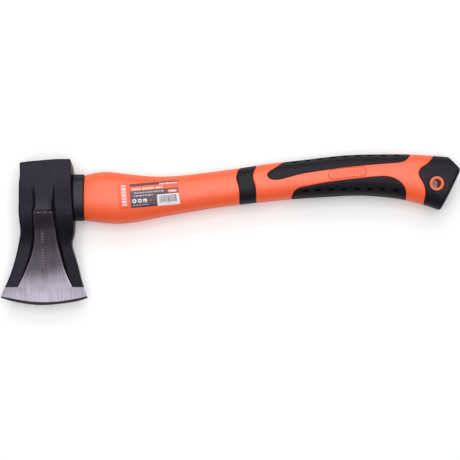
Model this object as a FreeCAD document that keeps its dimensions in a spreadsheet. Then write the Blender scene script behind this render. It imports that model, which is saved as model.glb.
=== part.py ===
# Hand felling axe lying on its side: forged wedge head, straight glass-fibre
# core bonded into the eye, two-material moulded handle.
# +X runs from the head to the butt, +Y towards the poll (the cutting edge is at
# -Y), +Z up through the thickness.  The head's lower cheek lies on z = 0.
import os
import FreeCAD
import Part
from FreeCAD import Vector, Placement, Rotation

os.makedirs("parts", exist_ok=True)
doc = FreeCAD.newDocument("FellingAxe")

# ----------------------------------------------------------------- dimensions
dims = doc.addObject("Spreadsheet::Sheet", "Dims")
DIMS = [
    ("head_half", 18.5, "half thickness of the head over the cheeks"),
    ("skin_depth", 2.0, "depth of the rubber overmould"),
    ("slot_depth", 1.0, "depth of the grip slots"),
    ("label_film", 0.25, "thickness of a printed film"),
    ("eye_half_high_in", 20.0, "eye half height at the handle side"),
    ("eye_half_wide_in", 10.0, "eye half width at the handle side"),
    ("eye_half_high_out", 21.5, "eye half height at the far side"),
    ("eye_half_wide_out", 11.0, "eye half width at the far side"),
    ("eye_axis_up", 30.3, "height of the eye's axis along Y"),
    ("core_half_high", 11.0, "core half height"),
    ("core_half_wide", 6.5, "core half width"),
    ("core_length", 346.0, "length of the core"),
    ("core_tilt", 4.2, "angle of the straight core to the X axis"),
    ("collar_half_high", 22.25, "collar half height"),
    ("collar_half_wide", 14.7, "collar half width"),
    ("spigot_half_high", 18.6, "shell spigot half height"),
    ("spigot_half_wide", 11.4, "shell spigot half width"),
    ("head_face", -151.0, "start of the collar and spigot, inside the head's handle-side face"),
    ("collar_end", -138.2, "end of the collar, start of the shell"),
    ("seal_depth", 4.0, "depth of the seal ring in the eye"),
    ("hole_radius", 4.0, "hang hole"),
    ("eyelet_radius", 7.5, "outside of the eyelet"),
    ("eyelet_half_long", 14.2, "half length of the eyelet"),
    ("eyelet_along", 195.0, "hang hole position along X"),
    ("eyelet_up", 43.7, "hang hole position along Y"),
]
D = {}
for row, (name, value, note) in enumerate(DIMS, start=1):
    dims.set("A%d" % row, note)
    dims.set("B%d" % row, str(value))
    dims.setAlias("B%d" % row, name)
    D[name] = value
doc.recompute()
MID = D["head_half"]

# Local x -> Y, local y -> Z, normal -> X
ACROSS = Rotation(Vector(1, 1, 1), 120)


# -------------------------------------------------------------------- helpers
def V(p):
    return Vector(float(p[0]), float(p[1]), 0.0)


def spline(points):
    curve = Part.BSplineCurve()
    curve.interpolate([V(p) for p in points])
    return curve


def line(p, q):
    return Part.LineSegment(V(p), V(q))


def arc3(p, m, q):
    return Part.Arc(V(p), V(m), V(q))


def sketch(name, geometry, placement=Placement()):
    sk = doc.addObject("Sketcher::SketchObject", name)
    sk.Placement = placement
    sk.addGeometry(geometry, False)
    return sk


def polygon(name, points, placement=Placement()):
    n = len(points)
    geo = [line(points[i], points[(i + 1) % n]) for i in range(n)]
    return sketch(name, geo, placement)


def extrude(name, base, length, direction=None):
    ex = doc.addObject("Part::Extrusion", name)
    ex.Base = base
    if direction is None:
        ex.DirMode = "Normal"
    else:
        ex.DirMode = "Custom"
        ex.Dir = direction
    ex.LengthFwd = length
    ex.Solid = True
    return ex


def oval(name, x, y, high, wide):
    """Ellipse standing across X, its long axis along Y, starting at the underside."""
    e = doc.addObject("Part::Ellipse", name)
    e.MajorRadius = high
    e.MinorRadius = wide
    e.Angle1, e.Angle2 = 270, 270
    e.Placement = Placement(Vector(x, y, MID), ACROSS)
    e.setExpression("Placement.Base.z", "Dims.head_half")
    return e


def loft(name, sections, ruled=False):
    lo = doc.addObject("Part::Loft", name)
    lo.Sections = sections
    lo.Solid = True
    lo.Ruled = ruled
    return lo


def cut(name, base, tool):
    c = doc.addObject("Part::Cut", name)
    c.Base, c.Tool = base, tool
    return c


def common(name, a, b):
    c = doc.addObject("Part::Common", name)
    c.Base, c.Tool = a, b
    return c


def fuse(name, shapes):
    f = doc.addObject("Part::MultiFuse", name)
    f.Shapes = shapes
    f.Refine = True
    return f


def box(name, low, high):
    b = doc.addObject("Part::Box", name)
    b.Length, b.Width, b.Height = [high[i] - low[i] for i in range(3)]
    b.Placement = Placement(Vector(*low), Rotation())
    return b


LOW = Placement(Vector(0, 0, -5), Rotation())      # sketches swept through Z
THRU = 2 * MID + 10

# ----------------------------------------------------------------------- head
left_side = [(-198.4, 14.96), (-198.1, 8.3), (-197.95, 2.0), (-198.3, -4.0), (-199.5, -8.8), (-200.6, -12.6),
             (-202.0, -18.3), (-203.35, -23.1), (-205.25, -30.6), (-207.15, -37.0), (-209.05, -42.6),
             (-210.95, -47.2), (-212.85, -51.5), (-214.75, -55.6), (-216.55, -60.2), (-217.5, -65.2), (-218.2, -76.0)]
right_side = [(-133.2, -76.0), (-135.4, -64.9), (-137.6, -57.5), (-139.4, -52.0), (-141.4, -45.5), (-143.1, -38.2),
              (-145.6, -29.7), (-148.2, -20.0), (-149.4, -15.2), (-149.4, -11.5), (-148.4, -6.0), (-147.7, -1.2)]
head_outline = sketch("HeadOutline", [
    spline(left_side),
    line(left_side[-1], right_side[0]),
    spline(right_side),
    line((-147.7, -1.2), (-147.75, 8.2)),
    line((-147.75, 8.2), (-149.75, 52.7)),
    line((-149.75, 52.7), (-150.2, 66.0)),
    line((-150.2, 66.0), (-151.0, 67.6)),
    line((-151.0, 67.6), (-165.2, 67.6)),
    line((-165.2, 67.6), (-195.6, 63.1)),
    arc3((-195.6, 63.1), (-196.5, 62.75), (-196.8, 61.9)),
    line((-196.8, 61.9), (-197.0, 52.0)),
    line((-197.0, 52.0), (-198.4, 45.4)),
    line((-198.4, 45.4), (-198.4, 14.96)),
], LOW)
head_prism = extrude("HeadPrism", head_outline, THRU)

# cheek profiles, (Y, half thickness)
flank_curve = [(43.5, 18.5), (33.0, 16.0), (22.5, 14.0), (12.0, 13.1), (5.0, 11.8), (-2.0, 9.8), (-9.7, 8.2),
               (-20.0, 7.2), (-37.0, 6.0), (-54.4, 4.8)]
rib_curve = [(18.0, 17.4), (-34.0, 9.95), (-39.0, 9.1), (-43.5, 8.05), (-54.4, 5.1)]


def profile(name, x, top, curve_side, tail):
    """Closed symmetric profile in the Y-Z plane at X = x."""
    def geo(sign):
        g = []
        for kind, pts in top + [curve_side] + tail:
            q = [(p[0], MID + sign * p[1]) for p in pts]
            if kind == "spline":
                g.append(spline(q))
            elif kind == "arc":
                g.append(arc3(*q))
            else:
                g += [line(q[i], q[i + 1]) for i in range(len(q) - 1)]
        return g
    first = top[0][1][0]
    last = tail[-1][1][-1]
    geometry = geo(1) + geo(-1)
    geometry.append(line((first[0], MID - first[1]), (first[0], MID + first[1])))
    geometry.append(line((last[0], MID - last[1]), (last[0], MID + last[1])))
    return sketch(name, geometry, Placement(Vector(x, 0, 0), ACROSS))


r = 4.0
s = r * 0.70710678
poll_round = [("arc", [(66.74, MID - r), (66.74 - r + s, MID - r + s), (66.74 - r, MID)]),
              ("line", [(66.74 - r, MID), (43.5, MID)])]
flank_profile = profile("FlankProfile", -225, poll_round, ("spline", flank_curve),
                        [("line", [(-54.4, 4.8), (-56.0, 4.0)])])
flank_body = extrude("FlankBody", flank_profile, 100, Vector(1, 0, 0))
rib_profile = profile("RibProfile", -225,
                      [("line", [(50.0, 13.0), (43.5, MID), (18.6, 18.2), (18.0, 17.4)])],
                      ("line", rib_curve), [("line", [(-54.4, 5.1), (-56.0, 4.0)])])
rib_body = extrude("RibBody", rib_profile, 100, Vector(1, 0, 0))


def rib_height(y):
    pts = [(60, 18.5), (43.5, 18.5), (18.6, 18.2), (18.0, 17.4)] + rib_curve[1:] + [(-60, 3.4)]
    for (y1, z1), (y0, z0) in zip(pts, pts[1:]):
        if y0 <= y <= y1:
            return z0 + (z1 - z0) * (y - y0) / (y1 - y0)
    return 18.5


rib_left = [(-185.3, 46.0), (-184.7, 33.0), (-184.4, 22.6), (-185.9, 17.4), (-186.5, 9.3), (-186.1, -0.2),
            (-186.2, -8.8), (-187.2, -15.4), (-188.6, -21.5), (-190.6, -27.8), (-193.2, -34.8), (-195.8, -41.7),
            (-198.7, -48.0), (-203.2, -57.0)]
rib_right = [(-166.8, 46.0), (-168.6, 33.0), (-170.1, 22.6), (-169.3, 17.4), (-168.2, 9.3), (-166.6, -0.2),
             (-165.1, -7.8), (-163.5, -14.5), (-161.0, -24.9), (-158.7, -34.8), (-155.8, -43.4), (-153.2, -49.2),
             (-148.9, -57.0)]


def rib_wire(name, z, draft):
    """Rib outline at height z above the middle, its walls leaning outwards below the rib's top face."""
    def moved(points, sign):
        return [(x + sign * draft * (rib_height(y) - z), y) for x, y in points]
    a, b = moved(rib_left, -1), moved(rib_right, 1)
    return sketch(name, [spline(a), line(a[-1], b[-1]), spline(b), line(b[0], a[0])],
                  Placement(Vector(0, 0, MID), Rotation()))


rib_walls = []
for tag, sign in (("Upper", 1), ("Lower", -1)):
    w0 = rib_wire("RibFoot" + tag, 0.0, 0.5)
    w1 = rib_wire("RibCrown" + tag, MID + 1.0, 0.5)
    w1.Placement = Placement(Vector(0, 0, MID + sign * (MID + 1.0)), Rotation())
    rib_walls.append(loft("RibWall" + tag, [w0, w1], ruled=True))
rib_block = fuse("RibBlock", rib_walls)
rib = common("Rib", rib_body, rib_block)

bit_rows = [(-222.0, -61.6, -63.0), (-217.4, -63.2, -64.9), (-207.15, -65.3, -68.0), (-195.75, -67.3, -70.35),
            (-181.7, -68.6, -71.77), (-166.8, -68.4, -71.2), (-155.3, -67.0, -69.8), (-143.7, -64.9, -67.7),
            (-135.7, -63.0, -65.2), (-130.0, -61.3, -63.2)]
bit_sections = []
for k, (x, inner_y, edge_y) in enumerate(bit_rows):
    pts = [(-54.4, 5.1), (inner_y, 0.9), (edge_y, 0.15), (edge_y, -0.15), (inner_y, -0.9), (-54.4, -5.1)]
    bit_sections.append(polygon("BitSection%02d" % k, [(y, MID + z) for y, z in pts],
                                Placement(Vector(x, 0, 0), ACROSS)))
bit = loft("Bit", bit_sections)
forging = fuse("Forging", [flank_body, rib, bit])
blank = common("HeadBlank", head_prism, forging)

eye_in = oval("EyeInner", -145.0, D["eye_axis_up"], 20.0, 10.0)
eye_out = oval("EyeOuter", -202.0, D["eye_axis_up"], 21.5, 11.0)
for e, side in ((eye_in, "in"), (eye_out, "out")):
    e.setExpression("MajorRadius", "Dims.eye_half_high_" + side)
    e.setExpression("MinorRadius", "Dims.eye_half_wide_" + side)
    e.setExpression("Placement.Base.y", "Dims.eye_axis_up")
eye = loft("Eye", [eye_in, eye_out], ruled=True)
axe_head = cut("axe_head", blank, eye)

# ----------------------------------------------------------------------- core
core_section = doc.addObject("Part::Ellipse", "CoreSection")
core_section.MajorRadius, core_section.MinorRadius = D["core_half_high"], D["core_half_wide"]
core_section.setExpression("MajorRadius", "Dims.core_half_high")
core_section.setExpression("MinorRadius", "Dims.core_half_wide")
tilt = Rotation(Vector(0, 0, 1), D["core_tilt"])
core_section.Placement = Placement(Vector(-196.8, 26.6, MID), tilt.multiply(ACROSS))
core = extrude("fibreglass_core", core_section, D["core_length"])
core.setExpression("LengthFwd", "Dims.core_length")

seal_end = -148.7 - D["seal_depth"]
epoxy_zone = box("EpoxyZone", (-197.8, -20, -5), (seal_end, 80, 2 * MID + 5))
eye_epoxy = cut("eye_epoxy", common("EpoxyBlank", eye, epoxy_zone), core)
seal_zone = box("SealZone", (seal_end, -20, -5), (-140.0, 80, 2 * MID + 5))
eye_seal_ring = cut("eye_seal_ring", common("SealBlank", common("EyePlug", eye, blank), seal_zone), core)

# --------------------------------------------------------------------- handle
# (X, middle height Y, half height, half width)
STATIONS = [
    (-138.2, 30.26, 21.18, 14.0), (-134.9, 30.30, 21.94, 14.4), (-130.2, 30.60, 22.79, 14.9),
    (-123.5, 30.62, 23.67, 15.3), (-115.9, 30.34, 24.16, 15.5), (-107.4, 29.78, 24.05, 15.4),
    (-97.9, 29.43, 23.25, 15.1), (-87.4, 29.56, 21.89, 14.7), (-76.0, 30.21, 20.32, 14.2),
    (-62.7, 31.42, 18.87, 13.7), (-47.5, 33.18, 17.93, 13.2), (-28.5, 35.83, 17.33, 12.9),
    (-7.6, 38.74, 17.10, 12.7), (15.2, 41.74, 17.27, 12.7), (38.0, 44.65, 17.74, 12.9),
    (60.8, 47.12, 18.03, 13.2), (83.6, 49.25, 18.64, 13.5), (104.5, 51.01, 19.18, 13.7),
    (123.5, 51.83, 19.43, 13.8), (142.5, 51.50, 20.07, 13.9), (161.5, 50.35, 21.29, 13.9),
    (178.6, 48.13, 23.05, 13.8), (193.8, 45.30, 24.79, 13.7), (207.1, 41.81, 27.17, 13.6),
    (222.3, 37.59, 30.10, 13.4),
]


def handle_loft(name, expression, value):
    sections = []
    for k, (x, y, high, wide) in enumerate(STATIONS):
        e = oval("%sSection%02d" % (name, k), x, y, high + value, wide + value)
        if expression:
            e.setExpression("MajorRadius", "%.3f %s" % (high, expression))
            e.setExpression("MinorRadius", "%.3f %s" % (wide, expression))
        sections.append(e)
    return loft(name, sections)


handle_full = handle_loft("HandleFull", "", 0.0)
handle_inner = handle_loft("HandleInner", "- Dims.skin_depth", -D["skin_depth"])
slot_floor = handle_loft("SlotFloor", "- Dims.slot_depth", -D["slot_depth"])
film_one = handle_loft("FilmOne", "+ Dims.label_film", D["label_film"])
film_two = handle_loft("FilmTwo", "+ 2 * Dims.label_film", 2 * D["label_film"])

butt_outline = sketch("ButtOutline", [
    line((-150.0, 90.0), (-150.0, -10.0)),
    line((-150.0, -10.0), (187.0, -10.0)),
    line((187.0, -10.0), (199.45, 17.2)),
    arc3((199.45, 17.2), (200.6, 19.4), (201.9, 22.4)),
    line((201.9, 22.4), (217.05, 54.3)),
    arc3((217.05, 54.3), (217.55, 56.4), (216.6, 58.4)),
    line((216.6, 58.4), (209.9, 66.2)),
    arc3((209.9, 66.2), (208.6, 67.6), (207.9, 69.6)),
    line((207.9, 69.6), (207.9, 90.0)),
    line((207.9, 90.0), (-150.0, 90.0)),
], LOW)
butt_prism = extrude("ButtPrism", butt_outline, THRU)
handle_outer = common("HandleOuter", handle_full, butt_prism)

tongue_outline = polygon("TongueOutline", [(-150, 95), (202.5, 95), (203.5, 66.0), (212.3, 56.2), (195.0, 18.0),
                                           (184.0, -12), (-150, -12)], LOW)
tongue_prism = extrude("TonguePrism", tongue_outline, THRU)
backing = common("Backing", handle_inner, tongue_prism)

upper_edge = [(50.3, 64.2), (47.8, 62.4), (44.9, 60.3), (42.0, 58.6), (39.2, 56.9), (36.6, 54.8), (35.2, 52.1),
              (35.9, 50.0), (37.8, 48.3), (41.9, 47.2), (47.6, 47.7), (56.0, 49.9), (64.5, 52.2), (75.9, 54.4),
              (90.0, 56.5), (104.1, 58.6), (118.3, 60.2), (132.5, 61.5), (146.7, 62.7), (158.0, 63.6), (162.8, 64.4),
              (166.7, 66.5), (169.7, 69.5), (171.1, 71.6)]
upper_edge = [(56.5, 69.0)] + upper_edge + [(172.8, 75.5)]
lower_edge = [(55.2, 24.0), (57.2, 28.9), (58.2, 31.2), (59.1, 33.4), (60.3, 35.6), (62.1, 37.5), (64.9, 39.2),
              (70.2, 40.6), (78.7, 42.3), (90.0, 44.4), (104.1, 46.4), (118.2, 48.1), (132.3, 49.6), (140.8, 50.3),
              (146.9, 50.4), (152.1, 49.5), (157.3, 47.3), (161.1, 44.5), (164.2, 40.8), (166.3, 36.1),
              (167.1, 31.4), (167.6, 24.0)]
band_left = [(12.8, 62.0), (9.4, 58.4), (7.5, 56.1), (6.4, 52.2), (6.0, 49.3), (6.7, 45.5), (7.9, 41.7), (8.5, 38.0),
             (8.7, 34.2), (8.4, 29.5), (8.3, 23.9), (8.3, 18.0)]
band_right = [(28.6, 65.5), (25.3, 60.6), (23.8, 58.0), (22.1, 54.1), (21.5, 50.4), (22.2, 46.6), (23.5, 42.7),
              (24.5, 38.0), (25.3, 32.3), (25.5, 27.7), (25.7, 25.4), (25.8, 18.0)]
cap_edge = [(195.5, 74.0), (193.4, 70.2), (189.8, 65.6), (186.3, 62.4), (182.6, 60.1), (179.7, 57.4), (178.4, 54.0),
            (178.9, 50.6), (180.6, 47.3), (182.8, 43.6), (184.2, 39.8), (185.1, 35.6), (185.0, 31.1), (184.4, 27.8),
            (184.3, 23.3), (184.3, 12.0)]


def closed(name, edge, *corners):
    loop = [edge[-1]] + list(corners) + [edge[0]]
    geo = [spline(edge)] + [line(loop[i], loop[i + 1]) for i in range(len(loop) - 1)]
    return sketch(name, geo, LOW)


def slot(cx, cy, length, width, angle):
    """Obround slot outline centred on cx, cy."""
    from math import cos, sin, radians
    c, s_ = cos(radians(angle)), sin(radians(angle))
    h, w = (length - width) / 2, width / 2

    def at(u, v):
        return (cx + u * c - v * s_, cy + u * s_ + v * c)
    return [line(at(-h, -w), at(h, -w)), arc3(at(h, -w), at(h + w, 0), at(h, w)),
            line(at(h, w), at(-h, w)), arc3(at(-h, w), at(-h - w, 0), at(-h, -w))]


skin = cut("Skin", handle_outer, backing)



def crest_floor(x, z):
    """Y of the slot floor, one slot depth under the handle's surface at x and z off the middle."""
    for (x0, y0, a0, b0), (x1, y1, a1, b1) in zip(STATIONS, STATIONS[1:]):
        if x0 <= x <= x1:
            f = (x - x0) / (x1 - x0)
            y, a, b = y0 + f * (y1 - y0), a0 + f * (a1 - a0), b0 + f * (b1 - b0)
            return y + a * (1 - (z / b) ** 2) ** 0.5 - D["slot_depth"]


# rear grip pad, on the poll side
upper_prism = extrude("UpperPrism", closed("UpperOutline", upper_edge, (172.8, 90.0), (56.5, 90.0)), THRU)
upper_blank = common("UpperBlank", skin, upper_prism)
upper_halves = []
for tag, side, z0, z1 in (("Front", 1, MID, 2 * MID + 10), ("Back", -1, -10.0, MID)):
    half = common("Upper" + tag, upper_blank, box("UpperSpace" + tag, (0.0, 20.0, z0), (230.0, 95.0, z1)))
    crest_slots = []
    for k, x in enumerate([61.2, 73.6, 85.4, 97.5, 108.8, 121.1, 132.9, 145.5, 157.6]):
        sk = sketch("CrestSlot%d%s" % (k, tag), slot(x, MID + side * 5.0, 6.0, 2.2, 0),
                    Placement(Vector(0, 80, 0), Rotation(Vector(1, 0, 0), 90)))
        crest_slots.append(extrude("CrestCut%d%s" % (k, tag), sk, 80 - crest_floor(x, 5.0), Vector(0, -1, 0)))
    upper_halves.append(cut("UpperSlotted" + tag, half, fuse("CrestCuts" + tag, crest_slots)))
upper_grip_pad = fuse("upper_grip_pad", upper_halves)
upper_grip_pad.Refine = False

# rear grip pad, on the edge side
lower_prism = extrude("LowerPrism", closed("LowerOutline", lower_edge, (167.6, -8.0), (55.2, -8.0)), THRU)
lower_blank = common("LowerBlank", skin, lower_prism)
side_slots = []
for k, (x, y, a) in enumerate([(71.6, 36.8, 8), (83.5, 37.6, 6), (95.7, 38.0, 3), (107.8, 38.3, 2), (119.9, 38.5, 0),
                               (132.1, 38.5, -1), (144.1, 38.1, -3), (156.8, 37.2, -6)]):
    side_slots.append(extrude("SideCut%d" % k, sketch("SideSlot%d" % k, slot(x, y, 5.6, 2.1, a), LOW), THRU))
side_tool = cut("SideTool", fuse("SideCuts", side_slots), slot_floor)
lower_grip_pad = cut("lower_grip_pad", lower_blank, side_tool)

# front grip band
band_outline = sketch("BandOutline", [spline(band_left), line(band_left[-1], band_right[-1]), spline(band_right),
                                      line(band_right[0], band_left[0])], LOW)
band_prism = extrude("BandPrism", band_outline, THRU)
grip_band = common("grip_band", skin, band_prism)

# butt cap and hang hole
eyelet_body = doc.addObject("Part::Cylinder", "EyeletBody")
eyelet_body.setExpression("Radius", "Dims.eyelet_radius")
eyelet_body.setExpression("Height", "2 * Dims.eyelet_half_long")
hole_body = doc.addObject("Part::Cylinder", "HoleBody")
hole_body.setExpression("Radius", "Dims.hole_radius")
hole_body.setExpression("Height", "2 * Dims.eyelet_half_long + 4")
for c, extra in ((eyelet_body, 0.0), (hole_body, 2.0)):
    c.setExpression("Placement.Base.x", "Dims.eyelet_along")
    c.setExpression("Placement.Base.y", "Dims.eyelet_up")
    c.setExpression("Placement.Base.z", "Dims.head_half - Dims.eyelet_half_long - %.1f" % extra)
doc.recompute()
eyelet_ring = doc.addObject("Part::Chamfer", "EyeletRing")
eyelet_ring.Base = eyelet_body
eyelet_ring.Edges = [(i + 1, 0.6, 0.6) for i, e in enumerate(eyelet_body.Shape.Edges)
                     if e.Curve.TypeId == "Part::GeomCircle"]
hang_eyelet = cut("hang_eyelet", eyelet_ring, hole_body)

cap_prism = extrude("CapPrism", closed("CapOutline", cap_edge, (240.0, 12.0), (240.0, 74.0)), THRU)
cap_blank = common("CapBlank", skin, cap_prism)
butt_cap = cut("butt_cap", cap_blank, eyelet_body)

# orange shell: everything the rubber, the core and the eyelet leave
spigot_section = oval("SpigotSection", D["head_face"], 30.3, 18.6, 12.2)
spigot_section.setExpression("MajorRadius", "Dims.spigot_half_high")
spigot_section.setExpression("MinorRadius", "Dims.spigot_half_wide")
spigot_section.setExpression("Placement.Base.x", "Dims.head_face")
spigot_rod = extrude("SpigotRod", spigot_section, 14.0, Vector(1, 0, 0))
spigot_rod.setExpression("LengthFwd", "Dims.collar_end - Dims.head_face + 2")
spigot = cut("Spigot", spigot_rod, blank)
shell_solid = fuse("ShellSolid", [handle_outer, spigot])
rubber = fuse("Rubber", [upper_prism, lower_prism, band_prism, cap_prism])
rubber_skin = common("RubberSkin", skin, rubber)
shell_trimmed = cut("ShellTrimmed", shell_solid, rubber_skin)
shell_bored = cut("ShellBored", shell_trimmed, core)
handle_shell = cut("handle_shell", shell_bored, eyelet_body)

# collar round the spigot
collar_section = oval("CollarSection", D["head_face"], 30.45, 22.25, 15.6)
collar_section.setExpression("MajorRadius", "Dims.collar_half_high")
collar_section.setExpression("MinorRadius", "Dims.collar_half_wide")
collar_section.setExpression("Placement.Base.x", "Dims.head_face")
collar_solid = extrude("CollarSolid", collar_section, 9.95, Vector(1, 0, 0))
collar_solid.setExpression("LengthFwd", "Dims.collar_end - Dims.head_face")
doc.recompute()
collar_round = doc.addObject("Part::Fillet", "CollarRound")
collar_round.Base = collar_solid
collar_round.Edges = [(i + 1, 1.0, 1.0) for i, e in enumerate(collar_solid.Shape.Edges)
                      if e.Curve.TypeId == "Part::GeomEllipse" and e.BoundBox.XMin > -139]
neck_collar = cut("neck_collar", cut("CollarFitted", collar_round, blank), spigot_rod)

# printed films on the +Z side of the shell
label_corners = [(-105.4, 42.0), (-49.4, 47.2), (-47.2, 23.9), (-104.4, 19.3)]
sticker_corners = [(-68.8, 33.8), (-47.9, 35.1), (-47.0, 24.5), (-68.1, 22.8)]
TOP = Placement(Vector(0, 0, MID), Rotation())
label_prism = extrude("LabelPrism", polygon("LabelOutline", label_corners, TOP), 30)
sticker_prism = extrude("StickerPrism", polygon("StickerOutline", sticker_corners, TOP), 30)
product_label = cut("product_label", common("LabelFilm", film_one, label_prism), handle_full)
barcode_label = cut("barcode_label", common("StickerFilm", film_two, sticker_prism), film_one)

doc.recompute()

PARTS = [axe_head, core, eye_epoxy, eye_seal_ring, neck_collar, handle_shell, grip_band, upper_grip_pad,
         lower_grip_pad, butt_cap, hang_eyelet, product_label, barcode_label]

for obj in doc.Objects:
    bad = [w for w in obj.State if w in ("Invalid", "Error")]
    if bad:
        raise RuntimeError("%s is %s" % (obj.Name, bad))
for obj in PARTS:
    obj.Label = obj.Name
    shape = obj.Shape
    if shape.isNull() or not shape.isValid() or not shape.Solids:
        raise RuntimeError("%s has no valid solid" % obj.Name)
    shape.exportStep(os.path.join("parts", obj.Name + ".step"))
    if len(shape.Solids) != 1:
        for k, body in enumerate(shape.Solids):
            print("   ", obj.Name, k, round(body.Volume, 3), body.CenterOfMass)
    bb = shape.BoundBox
    print("%-16s solids %d faces %3d  volume %9.1f mm3  x %.1f..%.1f y %.1f..%.1f z %.1f..%.1f" % (
        obj.Name, len(shape.Solids), len(shape.Faces), shape.Volume,
        bb.XMin, bb.XMax, bb.YMin, bb.YMax, bb.ZMin, bb.ZMax))
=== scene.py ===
# Looks of the felling axe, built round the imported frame.  Work is in
# millimetres in the frame's axes and turned into metres when a mesh is made.
import bpy
import math
import random
import numpy as np
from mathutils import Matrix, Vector
from mathutils.geometry import delaunay_2d_cdt
from mathutils.kdtree import KDTree


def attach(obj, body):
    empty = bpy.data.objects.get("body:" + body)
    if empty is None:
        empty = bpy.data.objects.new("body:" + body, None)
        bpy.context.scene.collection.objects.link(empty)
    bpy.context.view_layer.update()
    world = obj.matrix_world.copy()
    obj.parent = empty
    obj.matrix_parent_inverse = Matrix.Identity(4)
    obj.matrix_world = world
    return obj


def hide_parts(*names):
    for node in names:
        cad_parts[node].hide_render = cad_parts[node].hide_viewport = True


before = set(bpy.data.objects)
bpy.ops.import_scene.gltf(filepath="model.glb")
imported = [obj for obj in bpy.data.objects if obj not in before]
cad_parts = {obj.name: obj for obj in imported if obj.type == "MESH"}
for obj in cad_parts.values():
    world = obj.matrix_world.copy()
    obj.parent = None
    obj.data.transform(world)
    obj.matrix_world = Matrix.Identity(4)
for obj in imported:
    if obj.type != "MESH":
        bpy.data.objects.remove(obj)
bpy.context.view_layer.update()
MM = 0.001
MID = 18.5
PI = math.pi


# ------------------------------------------------------------------ numbers
def cubic(xs, ys):
    """Natural cubic through the points; returns value and slope."""
    xs, ys = np.asarray(xs, float), np.asarray(ys, float)
    n = len(xs)
    h = np.diff(xs)
    A = np.zeros((n, n))
    r = np.zeros(n)
    A[0, 0] = A[-1, -1] = 1
    for i in range(1, n - 1):
        A[i, i - 1], A[i, i], A[i, i + 1] = h[i - 1], 2 * (h[i - 1] + h[i]), h[i]
        r[i] = 6 * ((ys[i + 1] - ys[i]) / h[i] - (ys[i] - ys[i - 1]) / h[i - 1])
    m = np.linalg.solve(A, r)

    def f(x, slope=False):
        x = np.asarray(x, float)
        i = np.clip(np.searchsorted(xs, x) - 1, 0, n - 2)
        d = x - xs[i]
        c1 = (ys[i + 1] - ys[i]) / h[i] - h[i] * (2 * m[i] + m[i + 1]) / 6
        c3 = (m[i + 1] - m[i]) / (6 * h[i])
        if slope:
            return c1 + d * m[i] + 3 * c3 * d * d
        return ys[i] + c1 * d + m[i] / 2 * d * d + c3 * d ** 3
    return f


def curve(points, step=0.4):
    """Smooth curve through the points, sampled about every step."""
    p = np.asarray(points, float)
    s = np.concatenate([[0], np.cumsum(np.hypot(*np.diff(p, axis=0).T))])
    fx, fy = cubic(s, p[:, 0]), cubic(s, p[:, 1])
    t = np.linspace(0, s[-1], max(3, int(s[-1] / step) + 1))
    return np.stack([fx(t), fy(t)], 1)


def resample(p, step, closed=False):
    p = np.asarray(p, float)
    if closed:
        p = np.vstack([p, p[:1]])
    s = np.concatenate([[0], np.cumsum(np.hypot(*np.diff(p, axis=0).T))])
    n = max(3, int(round(s[-1] / step)))
    t = np.linspace(0, s[-1], n + 1)
    q = np.stack([np.interp(t, s, p[:, 0]), np.interp(t, s, p[:, 1])], 1)
    return q[:-1] if closed else q


def area2(p):
    return float(np.sum(p[:, 0] * np.roll(p[:, 1], -1) - np.roll(p[:, 0], -1) * p[:, 1]))


def inward(loop, d):
    """Closed loop moved inwards by d (outwards if negative)."""
    p = np.asarray(loop, float)
    t = np.roll(p, -1, 0) - np.roll(p, 1, 0)
    t /= np.maximum(np.hypot(t[:, 0], t[:, 1]), 1e-9)[:, None]
    n = np.stack([-t[:, 1], t[:, 0]], 1)
    if area2(p) < 0:
        n = -n
    return p + n * d


def inside(px, py, poly):
    """Even-odd test of arrays of points in a polygon."""
    px, py = np.asarray(px, float), np.asarray(py, float)
    out = np.zeros(px.shape, bool)
    x0, y0 = poly[:, 0], poly[:, 1]
    x1, y1 = np.roll(x0, -1), np.roll(y0, -1)
    for a, b, c, d in zip(x0, y0, x1, y1):
        if b == d:
            continue
        hit = ((b > py) != (d > py)) & (px < (c - a) * (py - b) / (d - b) + a)
        out ^= hit
    return out


# ------------------------------------------------------- the handle's surface
STATIONS = np.array([
    (-138.2, 30.26, 21.18, 14.0), (-134.9, 30.30, 21.94, 14.4), (-130.2, 30.60, 22.79, 14.9),
    (-123.5, 30.62, 23.67, 15.3), (-115.9, 30.34, 24.16, 15.5), (-107.4, 29.78, 24.05, 15.4),
    (-97.9, 29.43, 23.25, 15.1), (-87.4, 29.56, 21.89, 14.7), (-76.0, 30.21, 20.32, 14.2),
    (-62.7, 31.42, 18.87, 13.7), (-47.5, 33.18, 17.93, 13.2), (-28.5, 35.83, 17.33, 12.9),
    (-7.6, 38.74, 17.10, 12.7), (15.2, 41.74, 17.27, 12.7), (38.0, 44.65, 17.74, 12.9),
    (60.8, 47.12, 18.03, 13.2), (83.6, 49.25, 18.64, 13.5), (104.5, 51.01, 19.18, 13.7),
    (123.5, 51.83, 19.43, 13.8), (142.5, 51.50, 20.07, 13.9), (161.5, 50.35, 21.29, 13.9),
    (178.6, 48.13, 23.05, 13.8), (193.8, 45.30, 24.79, 13.7), (207.1, 41.81, 27.17, 13.6),
    (222.3, 37.59, 30.10, 13.4)])
lift = np.interp(STATIONS[:, 0], [-134.9, -123.5, 38.0, 60.8], [0.0, 0.12, 0.12, 0.0])
STATIONS[:, 1] += lift
STATIONS[:, 2] += lift
YC = cubic(STATIONS[:, 0], STATIONS[:, 1])
HA = cubic(STATIONS[:, 0], STATIONS[:, 2])
HB = cubic(STATIONS[:, 0], STATIONS[:, 3])
RW = 17.5          # millimetres of plan width per radian round the handle


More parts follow.
